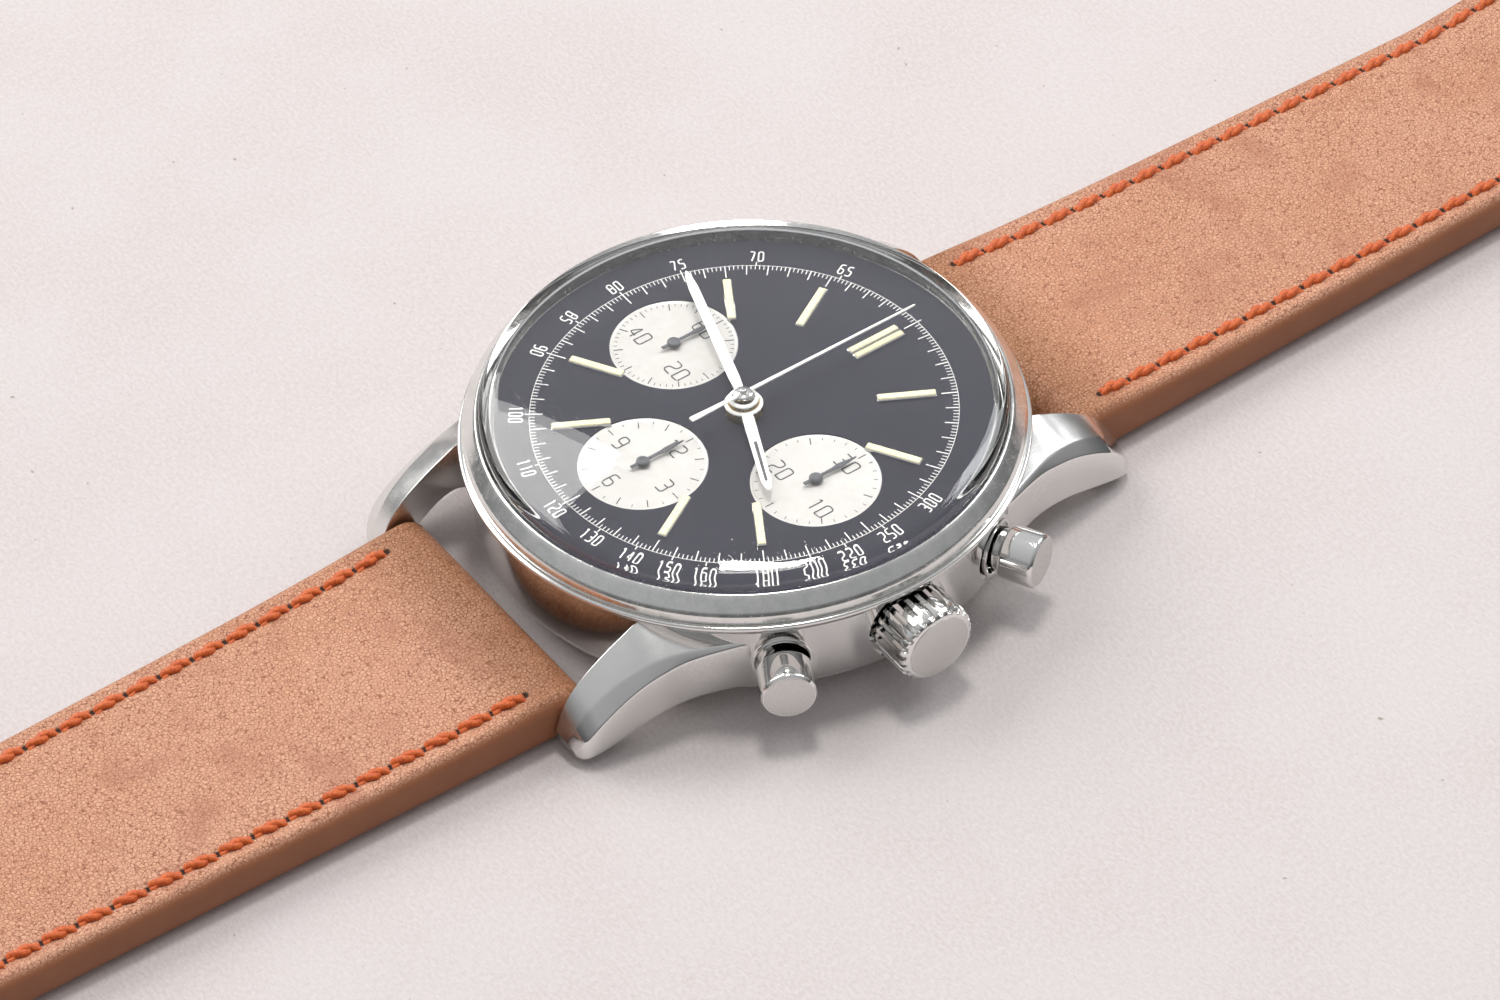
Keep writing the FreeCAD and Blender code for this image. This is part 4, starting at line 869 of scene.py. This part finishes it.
def blade(outline, z, thick, clock, at=(0.0, 0.0)):
    """Hand blade along a list of (distance, half width): each section is a flattened
    super-ellipse, so the edges are soft."""
    outline = np.asarray(outline, float)
    along = subdivided(outline[:, 0], 6)
    half = np.interp(along, outline[:, 0], outline[:, 1])
    angle = np.linspace(0, TAU, 24, endpoint=False)
    across = squared(np.cos(angle), 0.45)[None] * half[:, None]
    height = squared(np.sin(angle), 0.45)[None] * thick / 2 + z + thick / 2
    turn = math.radians(clock)
    y = along[:, None] + 0 * across
    return shell(np.stack([at[0] + across * math.cos(turn) + y * math.sin(turn),
                           at[1] + y * math.cos(turn) - across * math.sin(turn),
                           height + 0 * across], -1))


def hub(radius, z, height, bore):
    """Stepped boss with an eased rim and a bore."""
    outline = np.array([(bore, z), (radius, z), (radius, z + height * 0.6),
                        (radius * 0.82, z + height), (bore, z + height)])
    return turned_ring(eased(outline, 0.06, 3), 64)


def domed_cap(radius, z, height, at=(0.0, 0.0)):
    outline = eased(np.array([(radius, z), (radius, z + height * 0.6),
                              (radius * 0.6, z + height), (0.02, z + height)]), 0.08, 4,
                    False)
    return turned_solid(outline, 48, at)


def build_hands():
    white = painted("hand_white", (0.86, 0.855, 0.83), 0.3, 0.02)
    inset = painted("hand_inset", (0.05, 0.05, 0.055), 0.4)
    grey = painted("register_hand_grey", (0.075, 0.078, 0.088), 0.3)
    fitted("hour_blade", [blade([(0.7, 0.30), (1.6, 0.38), (7.2, 0.34), (7.9, 0.20),
                                 (8.1, 0.05)], 8.96, 0.14, 114.0)],
           white, "hour_hand", "hand_white", ["hour_hand"])
    fitted("hour_inset", [blade([(3.7, 0.08), (3.8, 0.11), (7.2, 0.09), (7.3, 0.05)],
                                9.075, 0.045, 114.0)], inset, "hour_hand", "hand_white")
    fitted("hour_hub", [hub(1.24, 8.94, 0.20, 1.05)], white, "hour_hand", "hand_white")
    fitted("minute_blade", [blade([(0.6, 0.27), (2.0, 0.36), (10.8, 0.32), (12.0, 0.20),
                                   (12.4, 0.05)], 9.36, 0.14, 288.0)],
           white, "minute_hand", "hand_white", ["minute_hand"])
    fitted("minute_hub", [hub(0.98, 9.34, 0.20, 0.74)], white, "minute_hand",
           "hand_white")
    fitted("chronograph_blade", [blade([(-4.0, 0.20), (-3.8, 0.22), (-1.0, 0.14),
                                        (0.0, 0.14), (13.2, 0.07), (13.4, 0.03)],
                                       9.76, 0.13, 0.0)],
           white, "chronograph_seconds", "hand_white", ["chronograph_hand"])
    fitted("chronograph_hub", [domed_cap(0.62, 9.74, 0.22), domed_cap(0.27, 9.9, 0.28)],
           POLISHED, "chronograph_seconds", "hand_white")
    outline = [(-0.9, 0.13), (0.3, 0.11), (1.3, 0.12), (1.9, 0.20), (2.5, 0.12), (3.1, 0.03)]
    for body, name in (("running_seconds", "seconds"), ("minute_register", "minutes"),
                       ("hour_register", "hours")):
        at = REGISTERS[name]
        fitted(body + "_hand_blade", [blade(outline, 8.41, 0.09, 0.0, at),
                                      domed_cap(0.44, 8.39, 0.24, at)],
               grey, body, "register_hand_grey", [body + "_hand"])


# ---- Strap ------------------------------------------------------------------------------
STITCH_PITCH = 2.45
STITCH_START = 22.4
STITCH_X = 7.9
STITCH_X_END = 6.35
SHORT_STITCHES = 27
LONG_STITCHES = 42
HOLES = 7
FIRST_HOLE_Y = 88.0
HOLE_PITCH = 6.0
EDGE_REACH = 0.95
TOP_SINK = 0.10
TOP_BED = TOP_SINK + 0.13
UNDER_BED = 0.46
THREAD_R = 0.285
PLY_REACH = 0.18


def strap_half_width(y):
    share = np.clip((y - BAR_Y) / (TAPER_END_Y - BAR_Y), 0, 1)
    return HALF_AT_LUG + (HALF_AT_BUCKLE - HALF_AT_LUG) * share


def seam_x(y):
    """Distance of each stitch row from the middle: it keeps nearly level with the edge."""
    share = np.clip((y - STITCH_START) / (TAPER_END_Y - STITCH_START), 0, 1)
    return STITCH_X + (STITCH_X_END - STITCH_X) * share


def smoothstep(v, low, high):
    t = np.clip((v - low) / (high - low), 0, 1)
    return t * t * (3 - 2 * t)


def groove(x, y, sew_end):
    """Depth of the groove that a stitch row pulls into the skin: a bell across the seam."""
    distance = np.abs(np.abs(x) - seam_x(y))
    sewn = (smoothstep(y, STITCH_START - 0.8, STITCH_START)
            * (1 - smoothstep(y, sew_end, sew_end + 0.8)))
    return 0.14 * np.exp(-(distance / 0.42) ** 2) * sewn


def strap_skin(rows, middle, half_height, half_width, sew_end):
    """Strap skin: rounded-rectangle sections, each at one distance from the dial, with a
    gently padded top and a groove under each stitch row. Columns go across the top, round one
    edge, back along the underside and round the other edge."""
    flat = np.linspace(-1, 1, 61)
    bend = np.radians(np.linspace(90, -90, 17))[1:-1]
    sx = np.concatenate([flat, np.ones(15), flat[::-1], -np.ones(15)])
    cx = np.concatenate([0 * flat, np.cos(bend), 0 * flat, -np.cos(bend[::-1])])
    sz = np.concatenate([0 * flat + 1, np.sin(bend), 0 * flat - 1, np.sin(bend[::-1])])
    sz_side = np.concatenate([0 * flat + 1, np.sign(np.sin(bend)), 0 * flat - 1,
                              np.sign(np.sin(bend[::-1]))])
    w, h, m = half_width[:, None], half_height[:, None], middle[:, None]
    r = np.minimum(EDGE_REACH, np.minimum(0.97 * h, 0.9 * w))
    x = sx[None] * (w - r) + cx[None] * r
    z = m + sz_side[None] * (h - r) + sz[None] * r
    top = np.concatenate([0 * flat + 1, 0 * bend, 0 * flat, 0 * bend])[None]
    under = np.concatenate([0 * flat, 0 * bend, 0 * flat + 1, 0 * bend])[None]
    y = rows[:, None] + 0 * x
    crown = 0.10 * (1 - (x / w) ** 2) * smoothstep(y, 24, 34)
    pulled = groove(x, y, sew_end)
    thin_out = np.clip(h / 1.3, 0, 1) ** 2
    z = z + (top * (crown - pulled - TOP_SINK) + under * 1.5 * pulled) * thin_out
    return shell(np.stack([x, y, z], -1))


def nose_rows():
    """Angles round the roll on the spring bar, from its foremost line to its top."""
    turn = np.linspace(0.06, 0.5 * math.pi, 14)
    y = BAR_Y - ROLL_R * np.cos(turn)
    return y, np.full(14, BAR_Z), ROLL_R * np.sin(turn)


def root_heights(y):
    """Middle and half height on the way out: the roll settles to the strap's thickness."""
    top = np.interp(y, [BAR_Y, 23, 27, 33, 36], [BAR_Z + ROLL_R, 3.5, 3.28, 3.12, 3.1])
    return (top + STRAP_FLOOR) / 2, (top - STRAP_FLOOR) / 2


def leather_marks(piece, sew_end):
    """Attributes that the leather reads: its place, how near the cut edge it is, how rubbed
    it is, and where it lies along and across the seam."""
    p = points_of(piece)
    x, y = np.abs(p[:, 0]), np.abs(p[:, 1])
    store(piece, "place", p)
    normals = np.zeros(len(p) * 3)
    piece.data.vertices.foreach_get("normal", normals)
    store(piece, "edge", smoothstep(np.abs(normals[::3]), 0.45, 0.9))
    front = 1 - smoothstep(y, 20.3, 26.0)
    rub = 0.55 * smoothstep(x / strap_half_width(y), 0.90, 0.99)
    store(piece, "burnish", np.clip(front * 1.05 + rub, 0, 1))
    along = (y - STITCH_START) / STITCH_PITCH + 0.5
    sewn = ((y > STITCH_START - 1.2) & (y < sew_end + 1.2)).astype(float)
    store(piece, "seam", np.stack([along, x - seam_x(y), sewn], 1))


def plied_stitch():
    """One stitch from hole to hole: two plies wound half a turn about a low arch, each a
    tube of five-sided loops. The unit runs along Y."""
    steps = 0.5 - 0.5 * np.cos(math.pi * np.linspace(0, 1, 9))
    half = STITCH_PITCH * 0.49
    arch = 0.50 * np.sin(math.pi * steps) ** 0.4 - 0.35
    round_tube = np.radians(np.arange(5) * 72.0)
    shells = []
    for ply in (0, math.pi):
        twist = ply + 2.3 * math.pi * (steps - 0.5)
        thin = THREAD_R * (0.74 + 0.26 * np.sin(math.pi * steps) ** 0.6)
        centre = np.stack([PLY_REACH * np.cos(twist), (2 * steps - 1) * half,
                           arch + 0.12 * np.sin(twist)], -1)
        loop = np.stack([np.cos(round_tube), 0 * round_tube, np.sin(round_tube)], -1)
        shells.append(shell(centre[:, None, :] + thin[:, None, None] * loop[None]))
    return shells


def stitch_rows(count, side, bed_z, under=False):
    """Stitches of both rows on one half of the strap, each a little askew. bed_z gives their
    height at a distance along the strap."""
    mid = STITCH_START + STITCH_PITCH * (np.arange(count) + 0.5)
    slope = (STITCH_X_END - STITCH_X) / (TAPER_END_Y - STITCH_START)
    slope = np.where(mid < TAPER_END_Y, slope, 0.0)
    rise = np.gradient(bed_z(mid), mid)
    shells = []
    for row in (1, -1):
        for ply in plied_stitch():
            def places(p, row=row):
                skew = (0.085 * row * side + slope * row)[:, None]
                x = row * seam_x(mid)[:, None] + p[None, :, 0] + p[None, :, 1] * skew
                y = mid[:, None] + p[None, :, 1]
                lift = -p[None, :, 2] if under else p[None, :, 2]
                z = bed_z(mid)[:, None] + lift + rise[:, None] * p[None, :, 1]
                return np.stack([x, side * y, z], -1)
            made = copies(ply, places)
            if (side < 0) != under:
                made = (made[0], made[1][:, ::-1], made[2][:, ::-1])
            shells.append(made)
    return shells


def build_strap_half(side, name, bodies, rows, middle, half_height, half_width, holes,
                     stitches):
    """One half with its stitching."""
    sew_end = STITCH_START + STITCH_PITCH * stitches
    points, quads, fans = strap_skin(rows, middle, half_height, half_width, sew_end)
    piece = make_mesh(name, [(points * np.array([side, side, 1]), quads, fans)])
    drilled(piece, holes)
    leather_marks(piece, sew_end)
    finished(piece, LEATHER, 60)
    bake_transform(piece)
    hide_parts(*bodies)

    def top_bed(y):
        return np.interp(y, rows, middle + half_height) - TOP_BED

    def under_bed(y):
        return np.interp(y, rows, middle - half_height) + UNDER_BED
    shells = (stitch_rows(stitches, side, top_bed)
              + stitch_rows(stitches, side, under_bed, True))
    thread = make_mesh(name + "_stitching", shells)
    finished(thread, THREAD, 80)
    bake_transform(thread)


def build_straps():
    nose_y, nose_mid, nose_half = nose_rows()

    # short half, to the buckle: it is rolled round the buckle's bar
    run = np.arange(BAR_Y + 0.4, BUCKLE_Y - 0.01, 0.55)
    mid, half = root_heights(run)
    mid = mid + TAIL_RISE * smoothstep(run, 61, 72)
    turn = np.linspace(0.5 * math.pi, 0.06, 12)
    rows = np.concatenate([nose_y, run, BUCKLE_Y + TAIL_ROLL_R * np.cos(turn)])
    middle = np.concatenate([nose_mid, mid, np.full(12, BUCKLE_Z)])
    half_height = np.concatenate([nose_half, half, TAIL_ROLL_R * np.sin(turn)])
    slot = shell(np.array([[(x, y, z) for x, y in ((-1.3, 91.8), (1.3, 91.8), (1.3, 98),
                                                   (-1.3, 98))] for z in (-1.0, 6.0)]))
    build_strap_half(1, "strap_short_half", ("strap_12_root", "strap_12_end"), rows, middle,
                     half_height, strap_half_width(rows), [slot], SHORT_STITCHES)

    # long half, with its holes and rounded tip
    tip_r = HALF_AT_BUCKLE
    shoulder = TIP_Y - tip_r - 0.05
    run = np.arange(BAR_Y + 0.4, shoulder, 0.55)
    turn = np.linspace(0, 0.5 * math.pi - 0.05, 26)
    rows = np.concatenate([nose_y, run, shoulder + tip_r * np.sin(turn)])
    mid, half = root_heights(np.concatenate([run, np.full(26, 100.0)]))
    thin = np.concatenate([np.ones(len(run)), np.cos(turn) ** 0.25])
    middle = np.concatenate([nose_mid, mid])
    half_height = np.concatenate([nose_half, half * thin])
    width = np.concatenate([strap_half_width(nose_y), strap_half_width(run),
                            tip_r * np.cos(turn)])
    punches = [turned_solid(np.array([(1.0, -1.0), (1.0, 6.0)]), 40,
                            (0.0, -FIRST_HOLE_Y - HOLE_PITCH * index))
               for index in range(HOLES)]
    build_strap_half(-1, "strap_long_half", ("strap_6_root", "strap_6_end"), rows, middle,
                     half_height, width, punches, LONG_STITCHES)


# ---- Loops and buckle -------------------------------------------------------------------
KEEPER_WALL = 0.95


def keeper(node, name, body):
    """Leather loop round both strap layers: a band with eased edges carried round a
    rectangle whose corners are rounded, more so at the top."""
    low, high = cad_box(node)

    def round_strap(inset, reach):
        side, floor, top = high[0] - inset, low[2] + inset, high[2] - inset
        return eased(np.array([(-side, floor), (side, floor), (side, top), (-side, top)]),
                     reach, 10)[:, None, :]
    outer = round_strap(0.0, (1.2, 1.2, 1.6, 1.6))
    inner = round_strap(KEEPER_WALL, (0.6, 0.6, 1.0, 1.0))
    mid_y, half_y = (low[1] + high[1]) / 2, (high[1] - low[1]) / 2
    band = eased(np.array([(0, -half_y), (1, -half_y), (1, half_y), (0, half_y)]), 0.28, 3)
    path = outer * band[None, :, :1] + inner * (1 - band[None, :, :1])
    y = mid_y + band[None, :, 1] + 0 * path[..., 0]
    loops = np.stack([path[..., 0], y, path[..., 1]], -1)
    piece = make_mesh(name, [shell(loops, ring=True)])
    p = points_of(piece)
    store(piece, "place", p * np.array([1, 1, 1.3]) + 31.0)
    off = np.abs(p[:, 1] - mid_y)
    store(piece, "edge", smoothstep(off, half_y - 0.45, half_y - 0.05))
    store(piece, "burnish", 0.35 * smoothstep(off, half_y - 1.2, half_y))
    dressed(piece, LOOP_LEATHER, body, "strap_leather", [node], 50)


def plan_sweep(path, half_width, half_height, z, ease):
    """Bar carried along a plan path of points; the section is an eased rectangle set square
    to the path."""
    path = np.asarray(path, float)
    along = np.gradient(path, axis=0)
    along /= np.linalg.norm(along, axis=1, keepdims=True)
    normal = np.stack([-along[:, 1], along[:, 0]], 1)
    section = eased(np.array([(-half_width, -half_height), (half_width, -half_height),
                              (half_width, half_height), (-half_width, half_height)]),
                    ease, 4)
    plan = path[:, None, :] + normal[:, None, :] * section[None, :, :1]
    height = z + section[None, :, 1] + 0 * plan[..., 0]
    return shell(np.concatenate([plan, height[..., None]], -1))


def build_buckle():
    half = FRAME_HIGH[0] - 0.875
    front = FRAME_HIGH[1] - 0.95
    back = FRAME_LOW[1] + 0.1
    corners = np.array([(-half, back), (-half, front), (half, front), (half, back)])
    path = eased(corners, 3.6, 16, False)
    fitted("buckle_hoop", [plan_sweep(subdivided(path, 4), 0.87, 0.99, BUCKLE_Z, 0.5)], POLISHED,
           "buckle_frame", "polished_steel", ["buckle_frame"], 40)
    y0, y1, z = BUCKLE_Y, FRAME_HIGH[1], BUCKLE_Z
    centre = smooth_stations(np.array([(y0 + 0.9, z + 0.75), (y0 + 2.2, z + 0.95),
                                       (y1 - 2.5, z + 1.4), (y1 - 0.6, z + 1.42),
                                       (y1 + 0.42, z + 1.24)]), 40)
    width = np.interp(np.arange(40), [0, 6, 32, 39], [0.88, 0.78, 0.62, 0.42])[:, None]
    thick = np.interp(np.arange(40), [0, 32, 39], [0.36, 0.36, 0.2])[:, None]
    angle = np.linspace(0, TAU, 24, endpoint=False)[None]
    loops = np.stack([squared(np.cos(angle), 0.55) * width,
                      centre[:, :1] + 0 * angle * width,
                      centre[:, 1:] + squared(np.sin(angle), 0.55) * thick], -1)
    eye_outline = eased(np.array([(0.8, -0.88), (1.28, -0.88), (1.28, 0.88), (0.8, 0.88)]),
                        0.15, 3)
    points, quads, fans = turned_ring(eye_outline, 48)
    eye = (points[:, [2, 0, 1]] + np.array([0, y0, z]), quads, fans)
    fitted("buckle_pin", [shell(loops), eye], POLISHED, "buckle_tongue", "polished_steel",
           ["buckle_tongue"], 40)


# ---- Carried-over CAD nodes -------------------------------------------------------------
def dress_frame_nodes():
    """Every CAD node still shown gets its finish by its material slot."""
    gilt = frosted("gilt_brass", 9.0, (0.62, 0.45, 0.20), (0.78, 0.60, 0.32), (0.25, 0.42),
                   0.01, 0.4)
    finishes = {"case_steel": STEEL, "polished_steel": POLISHED,
                "inner_steel": polished_steel("inner_steel", 0.6, 0.16),
                "movement_gilt": gilt, "gasket": rubber_black(),
                "dial_black": dial_lacquer()}
    slots = {part["node"]: part["material_slot"] for part in frame["record"]["subparts"]}
    for node, thing in frame["nodes"].items():
        if not thing.hide_render:
            thing.data.materials.clear()
            thing.data.materials.append(finishes[slots[node]])


# ---- Studio -----------------------------------------------------------------------------
def build_floor():
    f = Finish("paper_floor", Roughness=0.85, Specular_IOR_Level=0.15)
    fibres = f.noise(f.where((1.0, 1.6, 1.0)), 2.6, 5, 0.7)
    blotch = f.noise(f.where(), 0.06, 3)
    speck = f.ramp(f.noise(f.where(), 1.3, 1), 0.78, 0.82)
    base = f.blend(f.ramp(fibres, 0.3, 0.7), (0.590, 0.535, 0.525), (0.690, 0.635, 0.628))
    base = f.blend(f.ramp(blotch, 0.3, 0.7, 0.0, 0.35), base, (0.70, 0.655, 0.65))
    f.set(Base_Color=f.blend(speck, base, (0.40, 0.36, 0.33)),
          Normal=f.bump(fibres, 0.10, 0.4))
    side, count = 1500.0, 12
    line = np.linspace(-side, side, count)
    x, y = np.meshgrid(line, line, indexing="ij")
    points = np.stack([x, y, 0 * x - 0.02], -1).reshape(-1, 3)
    index = np.arange(count * count).reshape(count, count)
    quads = np.stack([index[:-1, :-1], index[1:, :-1], index[1:, 1:], index[:-1, 1:]],
                     -1).reshape(-1, 4)
    floor = make_mesh("paper_floor", [(points, quads, np.zeros((0, 3), int))])
    floor.data.materials.append(f.material)


def area_light(name, position, size, power, colour):
    """Window-like light that faces the dial."""
    light = bpy.data.lights.new(name, "AREA")
    light.shape, light.size, light.size_y = "RECTANGLE", size[0], size[1]
    light.energy, light.color = power, colour
    thing = bpy.data.objects.new(name, light)
    thing.location = position
    thing.rotation_euler = (-Vector(position)).to_track_quat("-Z", "Y").to_euler()
    bpy.context.scene.collection.objects.link(thing)


def around(distance, azimuth, elevation):
    """Place at a distance from the dial, in metres, seen at two angles in degrees."""
    azimuth, elevation = math.radians(azimuth), math.radians(elevation)
    return (distance * math.cos(elevation) * math.cos(azimuth),
            distance * math.cos(elevation) * math.sin(azimuth),
            distance * math.sin(elevation))


def build_studio():
    scene = bpy.context.scene
    scene.view_settings.view_transform = "Standard"
    world = bpy.data.worlds.new("studio")
    scene.world = world
    world.use_nodes = True
    f = Nodes(world.node_tree)
    sky = f.tree.nodes["Background"]
    sky.inputs["Color"].default_value = (0.97, 0.98, 1.0, 1)
    direction = f.node("TexCoord").outputs["Generated"]
    height = f.node("SeparateXYZ", {"Vector": direction}).outputs["Z"]
    bright_side = Vector((-0.75, 0.15, 0.64)).normalized()
    spread = f.ramp(f.vector("DOT_PRODUCT", direction, bright_side, "Value"), -0.5, 0.9,
                    0.30, 0.62, "LINEAR")
    horizon = f.ramp(height, 0.05, 0.5, 0.30, 1.06, "LINEAR")
    f.feed(sky.inputs["Strength"], f.calc("MULTIPLY", spread, horizon))
    area_light("left_window", around(1.0, 196, 40), (0.70, 0.60), 5.4, (1.0, 0.985, 0.955))
    area_light("far_window", around(1.1, 92, 40), (0.45, 0.5), 3.6, (0.97, 0.985, 1.0))
    area_light("high_window", around(1.1, 140, 76), (0.20, 0.20), 3.8, (1.0, 0.985, 0.96))

    target = Vector((-0.29, 0.33, 0.44)) * MM
    distance, azimuth, elevation, roll = 0.3894, -33.44, 44.215, math.radians(-2.67)
    back = Vector(around(1.0, azimuth, elevation))
    level = Vector(around(1.0, azimuth + 90, 0))
    upright = back.cross(level)
    right = level * math.cos(roll) + upright * math.sin(roll)
    up = back.cross(right)
    data = bpy.data.cameras.new("camera")
    data.lens, data.sensor_width = 145.03, 36.0
    data.clip_start, data.clip_end = 0.01, 20
    camera = bpy.data.objects.new("camera", data)
    camera.matrix_world = Matrix((right, up, back)).transposed().to_4x4()
    camera.location = target + back * distance
    scene.collection.objects.link(camera)
    scene.camera = camera


LEATHER = tan_leather()
LOOP_LEATHER = tan_leather("loop_leather", False)
THREAD = thread_rust()

build_case()
build_crystal()
build_controls()
build_dial()
build_markers()
build_hands()
build_straps()
keeper("fixed_keeper", "fixed_loop", "strap_12_end")
keeper("free_keeper", "free_loop", "free_keeper")
build_buckle()
dress_frame_nodes()
build_floor()
build_studio()
